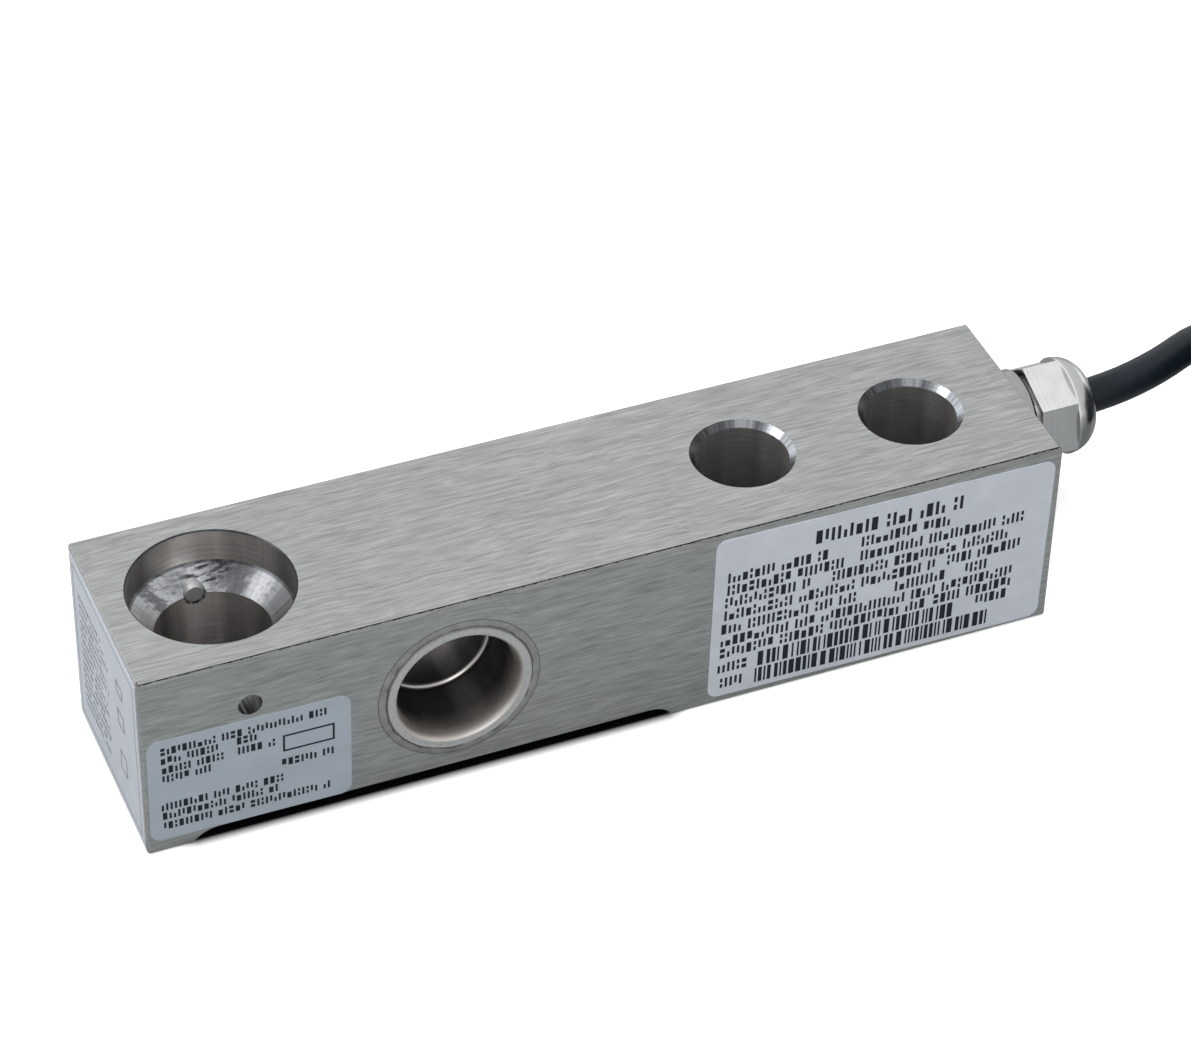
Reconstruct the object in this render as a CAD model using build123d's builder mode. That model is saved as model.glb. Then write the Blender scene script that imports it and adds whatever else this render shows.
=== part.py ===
from build123d import *

import os
from math import cos, degrees, pi, radians, sin, sqrt, tan

# Shear beam load cell: a solid stainless beam with a stepped load hole at one end, two sealed
# gauge pockets, two mounting holes, and a cable gland with its cable at the other end.
# Millimetres. +Z is up and +X runs towards the cable. The origin is on the base face,
# midway between the two mounting holes.

# Beam
beam_width = 30.3
beam_height = 30.3
load_end_to_hole = 15.0
load_hole_to_bolt = 76.2
bolt_pitch = 25.4
bolt_to_cable_end = 16.0
edge_break = 0.3
front_break_load_end = 0.3
front_break_cable_end = 0.8

# Underside relief, which leaves a small foot under the load end and the mounting base
foot_length = 6.1
relief_length = 69.5
relief_depth = 2.0
relief_corner_radius = 4.6

# Load hole: straight seat, cone and throat
seat_diameter = 22.5
seat_depth = 5.1
throat_diameter = 15.9
throat_depth = 8.0
rim_break = 0.2

# Locating pin, pressed into the far wall through the cross hole
pin_diameter = 3.18
cross_hole_diameter = 3.36
cross_hole_drop = 8.1
pin_tip_clearance = 0.1
pin_length = 4.0
pin_bevel = 0.4

# Mounting holes
bolt_hole_diameter = 13.0
bolt_hole_bevel = 0.85

# Gauge pockets, one in each side, with the sensing web between them
load_hole_to_pocket = 29.05
pocket_height = 15.6
pocket_diameter = 19.6
web_thickness = 4.4
wire_hole_diameter = 2.4
wire_hole_rise = 6.6

# Gauge cups, drawn from thin sheet, and the weld round each rim
cup_sheet = 0.45
cup_floor_gap = 2.5
cup_lip_diameter = 20.4
cup_mouth_diameter = 18.5
cup_throat_diameter = 17.0
cup_floor_diameter = 16.6
cup_bell_depth = 2.2
cup_corner_radius = 0.9
lip_stand = 0.3
weld_diameter = 23.1
weld_crown = 0.12

# Strain gauges and their coating
gauge_length = 9.0
gauge_height = 5.6
gauge_film = 0.12
grid_foil = 0.06
grid_line = 0.3
grid_gap = 0.25
grid_lines = 5
grid_reach = 2.6
grid_offset = 2.1
coating_diameter = 11.6
coating_height = 1.3

# Bridge board, on the web in the rear pocket
board_inner_diameter = 12.4
board_outer_diameter = 18.0
board_thickness = 0.8
board_sweep = 190.0
resistor_length = 1.6
resistor_width = 0.8
resistor_thickness = 0.5
resistor_angles = (20.0, 35.0, 142.0)

# Wires
wire_diameter = 0.58
wire_pitch = 0.6
wire_bend = 0.75
bridge_wire_count = 2
signal_wire_count = 4
wire_landing = 2.4
rear_lead_spread = 3.4
rear_lead_landing = 0.9

# Wire channel beside the mounting holes
channel_diameter = 2.5
channel_offset = 9.0
channel_seal_length = 6.0

# Cable gland
gland_offset = 7.65
gland_height = 17.4
stem_diameter = 8.0
stem_length = 7.0
thread_clearance = 0.05
socket_depth = 8.0
gasket_thickness = 0.8
gasket_inner_diameter = 8.4
gasket_outer_diameter = 12.8
flange_diameter = 13.9
flange_length = 4.9
flange_bevel = 0.45
neck_diameter = 11.0
nut_gap = 0.56
stem_bore_diameter = 5.7
seal_seat_diameter = 8.0
seal_seat_start = 6.0
neck_end = 12.0
nut_across_flats = 13.0
nut_turn = 80.6
hexagon_length = 5.66
dome_diameter = 14.24
dome_end = 16.1
dome_radius = 4.1
outlet_clearance = 0.25
shoulder_start = 13.3
ring_thickness = 0.7
ring_outer_diameter = 9.6
seal_clearance = 0.05

# Labels
label_thickness = 0.12
label_corner = 1.6
rating_label_size = (50.8, 28.2)
rating_label_centre = (106.0, 15.1)
rating_label_turn = -0.8
approval_label_size = (28.1, 17.6)
approval_label_centre = (14.6, 10.95)
approval_label_turn = -0.6
end_label_margin = 0.45

# Cable and its coil
cable_diameter = 5.2
cable_start = 5.5
coil_inner_turn = 20.8
coil_pitch = 5.25
coil_turns_wide = 3
coil_layers = 7
entry_heading = -2.0
entry_run = 18.0
entry_sweep = 45.0
entry_clearance = 0.1
entry_headroom = 0.6
far_end_sweep = 80.0

# Tie round the coil
tie_thickness = 0.8
tie_width = 3.6
tie_angle = -60.0
tie_clearance = 0.3
tie_head_length = 6.0
tie_head_width = 5.4
tie_head_height = 3.4
tie_tail_length = 9.0

# Stripped conductors at the cable's far end
conductor_diameter = 1.3
conductor_spread = 0.85
conductor_length = 24.0
inner_conductor_bend = 14.5
outer_conductor_bend = 19.5
drain_bend = 17.0
tip_diameter = 0.8
tip_length = 5.0

# Places that follow from the sizes
load_hole_x = -(load_hole_to_bolt + bolt_pitch / 2)
load_end_x = load_hole_x - load_end_to_hole
cable_end_x = bolt_pitch / 2 + bolt_to_cable_end
beam_length = cable_end_x - load_end_x
pocket_x = load_hole_x + load_hole_to_pocket
pocket_depth = (beam_width - web_thickness) / 2
pin_height = beam_height - cross_hole_drop
throat_radius = throat_diameter / 2
pin_tip_y = throat_radius + pin_tip_clearance
cable_radius = cable_diameter / 2
lip_sink = cup_sheet - lip_stand
cup_depth = pocket_depth - cup_floor_gap - cup_sheet
FRONT, REAR = -1, 1

front_left_corner = (load_end_x, -beam_width / 2, 0)
load_end_face = Plane(origin=(load_end_x, 0, 0), x_dir=(0, -1, 0), z_dir=(-1, 0, 0))
gland_axis = Axis((cable_end_x, gland_offset, gland_height), (1, 0, 0))


def side_face(side, depth=0.0):
    """The plane of a pocket's circles, facing out of the beam, that deep below the face."""
    y = side * (beam_width / 2 - depth)
    return Plane(
        origin=(pocket_x, y, pocket_height), x_dir=(-side, 0, 0), z_dir=(0, side, 0)
    )


def pocket_section(side):
    """Half section of a pocket: local x runs out from its axis and local y out of the beam."""
    origin = (pocket_x, side * beam_width / 2, pocket_height)
    return Plane(origin=origin, x_dir=(1, 0, 0), z_dir=(0, 0, side))


def web_section(side):
    """The same half section, measured from the face of the web."""
    origin = (pocket_x, side * web_thickness / 2, pocket_height)
    return Plane(origin=origin, x_dir=(1, 0, 0), z_dir=(0, 0, side))


def pocket_axis():
    return Axis((pocket_x, 0, pocket_height), (0, 1, 0))


def gland_section():
    """Half section of the gland: local x runs out of the beam and local y out from the axis."""
    origin = (cable_end_x, gland_offset, gland_height)
    return Plane(origin=origin, x_dir=(1, 0, 0), z_dir=(0, -1, 0))


def across_gland(distance):
    """A plane across the gland's axis, that far from the beam's end; local x is +Y."""
    origin = (cable_end_x + distance, gland_offset, gland_height)
    return Plane(origin=origin, x_dir=(0, 1, 0), z_dir=(1, 0, 0))


def save(piece, name):
    """Names a finished piece and writes its file."""
    piece.part.label = name
    export_step(piece.part, f"parts/{name}.step")


os.makedirs("parts", exist_ok=True)


# Beam body
with BuildPart() as beam_body:
    with BuildSketch(Plane(origin=(load_end_x, 0, 0), x_dir=(0, 1, 0), z_dir=(1, 0, 0))):
        Rectangle(beam_width, beam_height, align=(Align.CENTER, Align.MIN))
    extrude(amount=beam_length)

    # The top front edge is left for its own tapering break
    top_front = (
        beam_body.edges().filter_by(Axis.X).group_by(Axis.Z)[-1].sort_by(Axis.Y)[0]
    )
    chamfer([edge for edge in beam_body.edges() if edge != top_front], edge_break)
    for x, size in (
        (load_end_x, front_break_load_end),
        (cable_end_x, front_break_cable_end),
    ):
        corner = Plane(
            origin=(x, -beam_width / 2, beam_height), x_dir=(0, 1, 0), z_dir=(1, 0, 0)
        )
        with BuildSketch(corner):
            with BuildLine():
                Polyline((0, 0), (size, 0), (0, -size), close=True)
            make_face()
    loft(mode=Mode.SUBTRACT)

    # Underside relief, milled with a cutter that has rounded corners
    with BuildSketch(Plane.XZ):
        side_reach = relief_corner_radius - sqrt(
            relief_corner_radius**2 - (relief_corner_radius - relief_depth) ** 2
        )
        with Locations((load_end_x + foot_length + relief_length / 2, relief_depth)):
            relief = Rectangle(
                relief_length + 2 * side_reach,
                2 * relief_corner_radius,
                align=(Align.CENTER, Align.MAX),
            )
        fillet(relief.vertices().group_by(Axis.Y)[-1], relief_corner_radius)
    extrude(amount=beam_width, both=True, mode=Mode.SUBTRACT)

    # Load hole
    load_section = Plane(
        origin=(load_hole_x, 0, beam_height), x_dir=(1, 0, 0), z_dir=(0, -1, 0)
    )
    with BuildSketch(load_section):
        with BuildLine():
            Polyline(
                (0, 0),
                (seat_diameter / 2 + rim_break, 0),
                (seat_diameter / 2, -rim_break),
                (seat_diameter / 2, -seat_depth),
                (throat_radius, -throat_depth),
                (throat_radius, -beam_height),
                (0, -beam_height),
                close=True,
            )
        make_face()
    revolve(axis=Axis((load_hole_x, 0, 0), (0, 0, 1)), mode=Mode.SUBTRACT)

    # Cross hole in the front wall, and the pin's socket in the far wall
    cross_face = Plane(
        origin=(load_hole_x, -beam_width / 2, pin_height), x_dir=(1, 0, 0), z_dir=(0, 1, 0)
    )
    with BuildSketch(cross_face):
        Circle(cross_hole_diameter / 2)
    extrude(amount=beam_width / 2, mode=Mode.SUBTRACT)
    with BuildSketch(cross_face.offset(beam_width / 2)):
        Circle(pin_diameter / 2)
    extrude(amount=pin_tip_y + pin_length, mode=Mode.SUBTRACT)

    # Mounting holes, bevelled at the top
    with Locations(Plane.XY.offset(beam_height)):
        with GridLocations(bolt_pitch, 0, 2, 1):
            Hole(bolt_hole_diameter / 2, depth=beam_height)
    bolt_rims = (
        beam_body.edges()
        .filter_by(GeomType.CIRCLE)
        .filter_by(lambda edge: abs(edge.radius - bolt_hole_diameter / 2) < 0.001)
        .group_by(Axis.Z)[-1]
    )
    chamfer(bolt_rims, bolt_hole_bevel)

    # Gauge pockets, with the shallow recess for the weld round each mouth
    for side in (FRONT, REAR):
        with BuildSketch(side_face(side)):
            Circle(weld_diameter / 2)
        extrude(amount=-lip_sink, mode=Mode.SUBTRACT)
        with BuildSketch(side_face(side)):
            Circle(pocket_diameter / 2)
        extrude(amount=-pocket_depth, mode=Mode.SUBTRACT)
    with BuildSketch(side_face(FRONT, beam_width / 2)):
        with Locations((0, wire_hole_rise)):
            Circle(wire_hole_diameter / 2)
    extrude(amount=web_thickness, both=True, mode=Mode.SUBTRACT)

    # Gland socket, and the wire channel from it to the rear pocket
    with BuildSketch(across_gland(0)):
        Circle(stem_diameter / 2 + thread_clearance)
    extrude(amount=-socket_depth, mode=Mode.SUBTRACT)
    with BuildSketch(across_gland(0)):
        with Locations((channel_offset - gland_offset, 0)):
            Circle(channel_diameter / 2)
    extrude(amount=-(cable_end_x - pocket_x), mode=Mode.SUBTRACT)
save(beam_body, "beam_body")


# Locating pin
with BuildPart() as locating_pin:
    with BuildSketch(cross_face.offset(beam_width / 2 + pin_tip_y)):
        Circle(pin_diameter / 2)
    extrude(amount=pin_length)
    chamfer(locating_pin.edges().sort_by(Axis.Y)[0], pin_bevel)
save(locating_pin, "locating_pin")


# Gauge cups
def make_gauge_cup(side):
    """A drawn cup: flat lip, bell mouth, slightly tapering wall and rounded floor corner."""
    lip, mouth = cup_lip_diameter / 2, cup_mouth_diameter / 2
    throat, floor = cup_throat_diameter / 2, cup_floor_diameter / 2
    corner = cup_corner_radius
    with BuildPart() as cup:
        with BuildSketch(pocket_section(side)):
            with BuildLine():
                Polyline((0, -cup_depth), (floor - corner, -cup_depth))
                RadiusArc(
                    (floor - corner, -cup_depth), (floor, corner - cup_depth), -corner
                )
                Line((floor, corner - cup_depth), (throat, -cup_bell_depth))
                EllipticalCenterArc(
                    (mouth, -cup_bell_depth),
                    mouth - throat,
                    cup_bell_depth + lip_stand,
                    start_angle=90,
                    arc_size=90,
                )
                Polyline(
                    (mouth, lip_stand),
                    (lip, lip_stand),
                    (lip, -lip_sink),
                    (mouth, -lip_sink),
                )
                EllipticalCenterArc(
                    (mouth, -cup_bell_depth),
                    mouth - throat - cup_sheet,
                    cup_bell_depth - lip_sink,
                    start_angle=90,
                    arc_size=90,
                )
                Line(
                    (throat + cup_sheet, -cup_bell_depth),
                    (floor + cup_sheet, corner - cup_depth),
                )
                RadiusArc(
                    (floor + cup_sheet, corner - cup_depth),
                    (floor - corner, -cup_depth - cup_sheet),
                    corner + cup_sheet,
                )
                Polyline(
                    (floor - corner, -cup_depth - cup_sheet),
                    (0, -cup_depth - cup_sheet),
                    (0, -cup_depth),
                )
            make_face()
        revolve(axis=pocket_axis())
    return cup


front_gauge_cup = make_gauge_cup(FRONT)
save(front_gauge_cup, "front_gauge_cup")
rear_gauge_cup = make_gauge_cup(REAR)
save(rear_gauge_cup, "rear_gauge_cup")


# Weld beads round the cups
def make_cup_weld(side):
    """A low bead that fills the recess between the cup's lip and the beam's face."""
    inner, outer = cup_lip_diameter / 2, weld_diameter / 2
    with BuildPart() as weld:
        with BuildSketch(pocket_section(side)):
            with BuildLine():
                Polyline(
                    (inner, weld_crown / 2), (inner, -lip_sink), (outer, -lip_sink), (outer, 0)
                )
                ThreePointArc(
                    (outer, 0), ((inner + outer) / 2, weld_crown), (inner, weld_crown / 2)
                )
            make_face()
        revolve(axis=pocket_axis())
    return weld


front_cup_weld = make_cup_weld(FRONT)
save(front_cup_weld, "front_cup_weld")
rear_cup_weld = make_cup_weld(REAR)
save(rear_cup_weld, "rear_cup_weld")


# Strain gauges on the web: a film that carries two foil grids at 45 degrees
def make_gauge_film(side):
    with BuildPart() as film:
        with BuildSketch(side_face(side, pocket_depth)):
            RectangleRounded(gauge_length, gauge_height, 0.6)
        extrude(amount=gauge_film)
    return film


def make_gauge_grids(side):
    """Two meanders that cross the web's shear at plus and minus 45 degrees."""
    step = grid_line + grid_gap
    with BuildPart() as grids:
        with BuildSketch(side_face(side, pocket_depth - gauge_film)):
            for lean in (-1, 1):
                with Locations(Location((lean * grid_offset, 0), lean * 45)):
                    for line in range(grid_lines):
                        across = (line - (grid_lines - 1) / 2) * step
                        with Locations((across, 0)):
                            Rectangle(grid_line, grid_reach)
                    for turn in range(grid_lines - 1):
                        across = (turn - (grid_lines - 2) / 2) * step
                        end = 1 if turn % 2 else -1
                        with Locations((across, end * (grid_reach - grid_line) / 2)):
                            Rectangle(step, grid_line)
        extrude(amount=grid_foil)
    return grids


def make_coating(side, covered):
    """A low dome of soft coating that is moulded round what it covers."""
    with BuildPart() as coating:
        with BuildSketch(web_section(side)):
            with BuildLine():
                Polyline((0, coating_height), (0, 0), (coating_diameter / 2, 0))
                ThreePointArc(
                    (coating_diameter / 2, 0),
                    (coating_diameter / 3, coating_height * 0.65),
                    (0, coating_height),
                )
            make_face()
        revolve(axis=pocket_axis())
        for piece in covered:
            add(piece.part, mode=Mode.SUBTRACT)
    return coating


front_gauge_film = make_gauge_film(FRONT)
save(front_gauge_film, "front_gauge_film")
rear_gauge_film = make_gauge_film(REAR)
save(rear_gauge_film, "rear_gauge_film")
front_gauge_grids = make_gauge_grids(FRONT)
save(front_gauge_grids, "front_gauge_grids")
rear_gauge_grids = make_gauge_grids(REAR)
save(rear_gauge_grids, "rear_gauge_grids")


# Bridge board: a horseshoe round the rear gauge, bonded to the web
board_height = web_thickness / 2 + board_thickness
wire_radius = wire_diameter / 2
with BuildPart() as bridge_board:
    with BuildSketch(side_face(REAR, pocket_depth)):
        Circle(board_outer_diameter / 2)
        Circle(board_inner_diameter / 2, mode=Mode.SUBTRACT)
        with BuildLine():
            half = board_sweep / 2
            far = board_outer_diameter
            Polyline(
                (0, 0),
                PolarLocations(far, 1, start_angle=90 + half).locations[0].position,
                (0, -far),
                PolarLocations(far, 1, start_angle=90 - half).locations[0].position,
                close=True,
            )
        make_face(mode=Mode.SUBTRACT)
        with Locations((0, wire_hole_rise)):
            Circle(wire_hole_diameter / 2, mode=Mode.SUBTRACT)
    extrude(amount=board_thickness)
save(bridge_board, "bridge_board")

# Trimming resistors on the board
with BuildPart() as trim_resistors:
    track = (board_inner_diameter + board_outer_diameter) / 4
    with BuildSketch(side_face(REAR, pocket_depth - board_thickness)):
        for angle in resistor_angles:
            with PolarLocations(track, 1, start_angle=angle):
                Rectangle(resistor_width, resistor_length)
    extrude(amount=resistor_thickness)
save(trim_resistors, "trim_resistors")


# Wires
def make_wire(points, bend, diameter):
    """A round wire along straight runs with bends of one radius."""
    with BuildPart() as wire:
        with BuildLine() as route:
            FilletPolyline(*points, radius=bend)
        with BuildSketch(Plane(origin=route.line @ 0, z_dir=route.line % 0)):
            Circle(diameter / 2)
        sweep()
    return wire


# Bridge wires, from the front gauge through the web to the board
front_wire_y = -(web_thickness / 2 + gauge_film + grid_foil + wire_radius)
board_wire_y = board_height + wire_radius
bridge_wire_z = pocket_height + gauge_height / 2 - wire_diameter
board_edge_z = pocket_height + sqrt((board_inner_diameter / 2) ** 2 - rear_lead_spread**2)
with BuildPart() as bridge_wires:
    for count in range(bridge_wire_count):
        side = 1 if count else -1
        x = pocket_x + side * wire_pitch / 2
        hole_z = pocket_height + wire_hole_rise
        wire = make_wire(
            [
                (x, front_wire_y, bridge_wire_z),
                (x, front_wire_y, hole_z),
                (x, board_wire_y, hole_z),
                (x + side * wire_landing, board_wire_y, hole_z),
            ],
            wire_bend,
            wire_diameter,
        )
        add(wire.part)
    # Leads of the rear gauge, up from the film and over the board's inner edge
    for side in (-1, 1):
        x = pocket_x + side * rear_lead_spread
        wire = make_wire(
            [
                (x, -front_wire_y, bridge_wire_z),
                (x, -front_wire_y, board_edge_z - 2.5 * wire_bend),
                (x, board_wire_y, board_edge_z - wire_radius),
                (x, board_wire_y, board_edge_z + rear_lead_landing),
            ],
            wire_bend,
            wire_diameter,
        )
        add(wire.part)
save(bridge_wires, "bridge_wires")

front_gauge_coating = make_coating(
    FRONT, (front_gauge_film, front_gauge_grids, bridge_wires)
)
save(front_gauge_coating, "front_gauge_coating")
rear_gauge_coating = make_coating(REAR, (rear_gauge_film, rear_gauge_grids, bridge_wires))
save(rear_gauge_coating, "rear_gauge_coating")

# Signal wires, from the board round the cup's wall and along the channel to the cable
cup_outer = cup_throat_diameter / 2 + cup_sheet
wire_ring = (cup_outer + pocket_diameter / 2) / 2
cable_start_x = cable_end_x + cable_start
with BuildPart() as signal_wires:
    for count in range(signal_wire_count):
        z = gland_height + (count - (signal_wire_count - 1) / 2) * wire_pitch
        turn_x = pocket_x + sqrt(wire_ring**2 - (z - pocket_height) ** 2)
        wire = make_wire(
            [
                (cable_start_x, channel_offset, z),
                (turn_x, channel_offset, z),
                (turn_x, board_wire_y, z),
                (turn_x - wire_landing, board_wire_y, z),
            ],
            wire_bend,
            wire_diameter,
        )
        add(wire.part)
save(signal_wires, "signal_wires")

# Seal in the channel, moulded round the wires
with BuildPart() as channel_seal:
    with BuildSketch(across_gland(-socket_depth)):
        with Locations((channel_offset - gland_offset, 0)):
            Circle(channel_diameter / 2)
    extrude(amount=-channel_seal_length)
    add(signal_wires.part, mode=Mode.SUBTRACT)
save(channel_seal, "channel_seal")


# Gland gasket
with BuildPart() as gland_gasket:
    with BuildSketch(across_gland(0)):
        Circle(gasket_outer_diameter / 2)
        Circle(gasket_inner_diameter / 2, mode=Mode.SUBTRACT)
    extrude(amount=gasket_thickness)
save(gland_gasket, "gland_gasket")

# Gland body: threaded stem, round flange and the neck that takes the nut
flange_end = gasket_thickness + flange_length
with BuildPart() as gland_body:
    with BuildSketch(gland_section()):
        with BuildLine():
            Polyline(
                (-stem_length, stem_bore_diameter / 2),
                (-stem_length, stem_diameter / 2),
                (gasket_thickness, stem_diameter / 2),
                (gasket_thickness, flange_diameter / 2 - flange_bevel),
                (gasket_thickness + flange_bevel, flange_diameter / 2),
                (flange_end - flange_bevel, flange_diameter / 2),
                (flange_end, flange_diameter / 2 - flange_bevel),
                (flange_end, neck_diameter / 2),
                (neck_end, neck_diameter / 2),
                (neck_end, seal_seat_diameter / 2),
                (seal_seat_start, seal_seat_diameter / 2),
                (seal_seat_start, stem_bore_diameter / 2),
                close=True,
            )
        make_face()
    revolve(axis=gland_axis)
save(gland_body, "gland_body")

# Rubber seal, squeezed onto the cable
seal_end = shoulder_start - ring_thickness
with BuildPart() as gland_seal:
    with BuildSketch(across_gland(seal_seat_start)):
        Circle(seal_seat_diameter / 2 - seal_clearance)
        Circle(cable_radius, mode=Mode.SUBTRACT)
    extrude(amount=seal_end - seal_seat_start)
save(gland_seal, "gland_seal")

# Thrust ring between the seal and the nut's shoulder
with BuildPart() as thrust_ring:
    with BuildSketch(across_gland(seal_end)):
        Circle(ring_outer_diameter / 2)
        Circle(cable_radius + outlet_clearance, mode=Mode.SUBTRACT)
    extrude(amount=ring_thickness)
save(thrust_ring, "thrust_ring")

# Dome nut: a hexagon that runs into a turned, fully rounded dome
nut_start = flange_end + nut_gap
dome_start = nut_start + hexagon_length
dome_corner = dome_diameter / 2 - dome_radius
with BuildPart() as gland_nut:
    with BuildSketch(across_gland(nut_start)):
        RegularPolygon(
            nut_across_flats / 2, side_count=6, major_radius=False, rotation=nut_turn
        )
    extrude(amount=hexagon_length)
    with BuildSketch(gland_section()):
        with BuildLine():
            Polyline(
                (dome_end, 0),
                (dome_start, 0),
                (dome_start, dome_diameter / 2),
                (dome_end - dome_radius, dome_diameter / 2),
            )
            RadiusArc(
                (dome_end - dome_radius, dome_diameter / 2),
                (dome_end, dome_corner),
                dome_radius,
            )
            Line((dome_end, dome_corner), (dome_end, 0))
        make_face()
    revolve(axis=gland_axis)
    with BuildSketch(across_gland(nut_start)):
        Circle(neck_diameter / 2 + thread_clearance)
    extrude(amount=shoulder_start - nut_start, mode=Mode.SUBTRACT)
    with BuildSketch(across_gland(nut_start)):
        Circle(cable_radius + outlet_clearance)
    extrude(amount=dome_end - nut_start, mode=Mode.SUBTRACT)
save(gland_nut, "gland_nut")


# Labels
def make_side_label(size, centre, turn):
    """A thin label on the front face, placed from the face's lower corner at the load end."""
    face = Plane(origin=front_left_corner, x_dir=(1, 0, 0), z_dir=(0, -1, 0))
    with BuildPart() as label:
        with BuildSketch(face):
            with Locations(Location(centre, turn)):
                RectangleRounded(*size, label_corner)
        extrude(amount=label_thickness)
    return label


rating_label = make_side_label(rating_label_size, rating_label_centre, rating_label_turn)
save(rating_label, "rating_label")
approval_label = make_side_label(
    approval_label_size, approval_label_centre, approval_label_turn
)
save(approval_label, "approval_label")

with BuildPart() as end_label:
    with BuildSketch(load_end_face):
        with Locations((0, beam_height / 2)):
            inset = 2 * (edge_break + end_label_margin)
            Rectangle(beam_width - inset, beam_height - inset)
    extrude(amount=label_thickness)
save(end_label, "end_label")


# Cable: from inside the gland, out and down to the coil
cable_floor_z = tie_thickness + cable_radius
cable_points = [
    (cable_start_x, gland_offset, gland_height),
    (46.0, gland_offset, gland_height),
    (57.6, 10.2, 17.2),
    (69.2, 16.2, 16.2),
    (79.7, 19.6, 9.8),
    (91.2, 20.4, cable_floor_z),
]
entry_direction = Vector(cos(radians(entry_heading)), sin(radians(entry_heading)), 0)
entry_point = Vector(cable_points[-1]) + entry_direction * entry_run
cable_points.append(tuple(entry_point))
runs = [Vector(b) - Vector(a) for a, b in zip(cable_points, cable_points[1:])]
cable_bends = [
    0.45 * min(a.length, b.length) / tan(radians(a.get_angle(b) / 2))
    for a, b in zip(runs, runs[1:])
]
print("cable bend radii:", [round(bend, 1) for bend in cable_bends])

with BuildPart() as cable_lead:
    with BuildLine():
        cable_route = FilletPolyline(*cable_points, radius=cable_bends)
    with BuildSketch(Plane(origin=cable_route @ 0, z_dir=cable_route % 0)):
        Circle(cable_radius)
    sweep()
save(cable_lead, "cable_lead")
lead_section = pi * cable_radius**2
print("cable lead length:", round(cable_route.length, 1))
print("volume over section times length:", cable_lead.part.volume / lead_section / cable_route.length)

# Coil: the outer shape of the wound cable
coil_outer_turn = coil_inner_turn + (coil_turns_wide - 1) * coil_pitch
coil_centre = entry_point + entry_direction.cross(Vector(0, 0, 1)) * coil_outer_turn
winding_axis = Axis((coil_centre.X, coil_centre.Y, 0), (0, 0, -1))
coil_inner = coil_inner_turn - coil_pitch / 2
coil_outer = coil_outer_turn + coil_pitch / 2
top_layer_z = tie_thickness + (coil_layers - 1) * coil_pitch
coil_top = top_layer_z + coil_pitch


def coil_section(angle, height=0.0):
    """Upright half plane through the coil's axis; local x runs out and local y up."""
    out = Vector(cos(radians(angle)), sin(radians(angle)), 0)
    origin = (coil_centre.X, coil_centre.Y, height)
    return Plane(origin=origin, x_dir=out, z_dir=out.cross(Vector(0, 0, 1)))


entry_angle = 90 + entry_heading
with BuildPart() as cable_coil:
    with BuildSketch(coil_section(entry_angle)):
        with Locations((coil_inner, tie_thickness)):
            RectangleRounded(
                coil_outer - coil_inner,
                coil_top - tie_thickness,
                cable_radius,
                align=(Align.MIN, Align.MIN),
            )
    revolve(axis=winding_axis)

    # Room for the lead, which runs in as the outermost turn of the bottom layer
    with BuildSketch(coil_section(entry_angle + entry_sweep, cable_floor_z)):
        with Locations((coil_outer_turn - cable_radius - entry_clearance, 0)):
            Rectangle(
                2 * coil_pitch,
                coil_pitch + entry_headroom,
                align=(Align.MIN, Align.CENTER),
            )
    revolve(axis=winding_axis, revolution_arc=entry_sweep, mode=Mode.SUBTRACT)

    # Room for the bare conductors, past the end of the top layer's innermost turn
    with BuildSketch(coil_section(entry_angle, top_layer_z)):
        with Locations((coil_inner + coil_pitch, 0)):
            Rectangle(2 * coil_pitch, 2 * coil_pitch, align=(Align.MAX, Align.MIN))
    revolve(axis=winding_axis, revolution_arc=far_end_sweep, mode=Mode.SUBTRACT)
save(cable_coil, "cable_coil")


# Tie: a taut strap round the coil, with its locking head and the end of its tail
with BuildPart() as coil_tie:
    with BuildSketch(coil_section(tie_angle)):
        inner_x, outer_x = coil_inner - tie_clearance, coil_outer + tie_clearance
        strap_top = coil_top + tie_clearance
        for grow in (tie_thickness, 0):
            with Locations((inner_x - grow, tie_thickness - grow)):
                RectangleRounded(
                    outer_x - inner_x + 2 * grow,
                    strap_top - tie_thickness + 2 * grow,
                    cable_radius + grow,
                    align=(Align.MIN, Align.MIN),
                    mode=Mode.SUBTRACT if grow == 0 else Mode.ADD,
                )
    extrude(amount=tie_width / 2, both=True)
    head_plane = coil_section(tie_angle, strap_top)
    with BuildSketch(head_plane):
        with Locations((coil_outer_turn - coil_pitch, 0)):
            Rectangle(tie_head_length, tie_head_height, align=(Align.MAX, Align.MIN))
    extrude(amount=tie_head_width / 2, both=True)
    with BuildSketch(head_plane):
        with Locations((coil_outer_turn - coil_pitch, tie_thickness)):
            Rectangle(tie_tail_length, tie_thickness, align=(Align.MIN, Align.MIN))
    extrude(amount=tie_width / 2, both=True)
save(coil_tie, "coil_tie")


# Bare conductors at the cable's far end
far_centre_z = top_layer_z + coil_pitch / 2


def make_conductor(name, out, up, bend, diameter):
    """A conductor that curves on from the cable's end face, with its end left for the tip."""
    section = coil_section(entry_angle, far_centre_z)
    start = section.from_local_coords((coil_inner_turn + out, up, 0))
    with BuildPart() as conductor:
        with BuildLine(Plane.XY.offset(start.Z)) as route:
            JernArc(
                start=(start.X, start.Y),
                tangent=entry_direction,
                radius=bend,
                arc_size=-degrees(conductor_length / bend),
            )
        with BuildSketch(Plane(origin=route.line @ 0, z_dir=route.line % 0)):
            Circle(diameter / 2)
        sweep()
    save(conductor, name)
    return Plane(origin=route.line @ 1, z_dir=route.line % 1)


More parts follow.
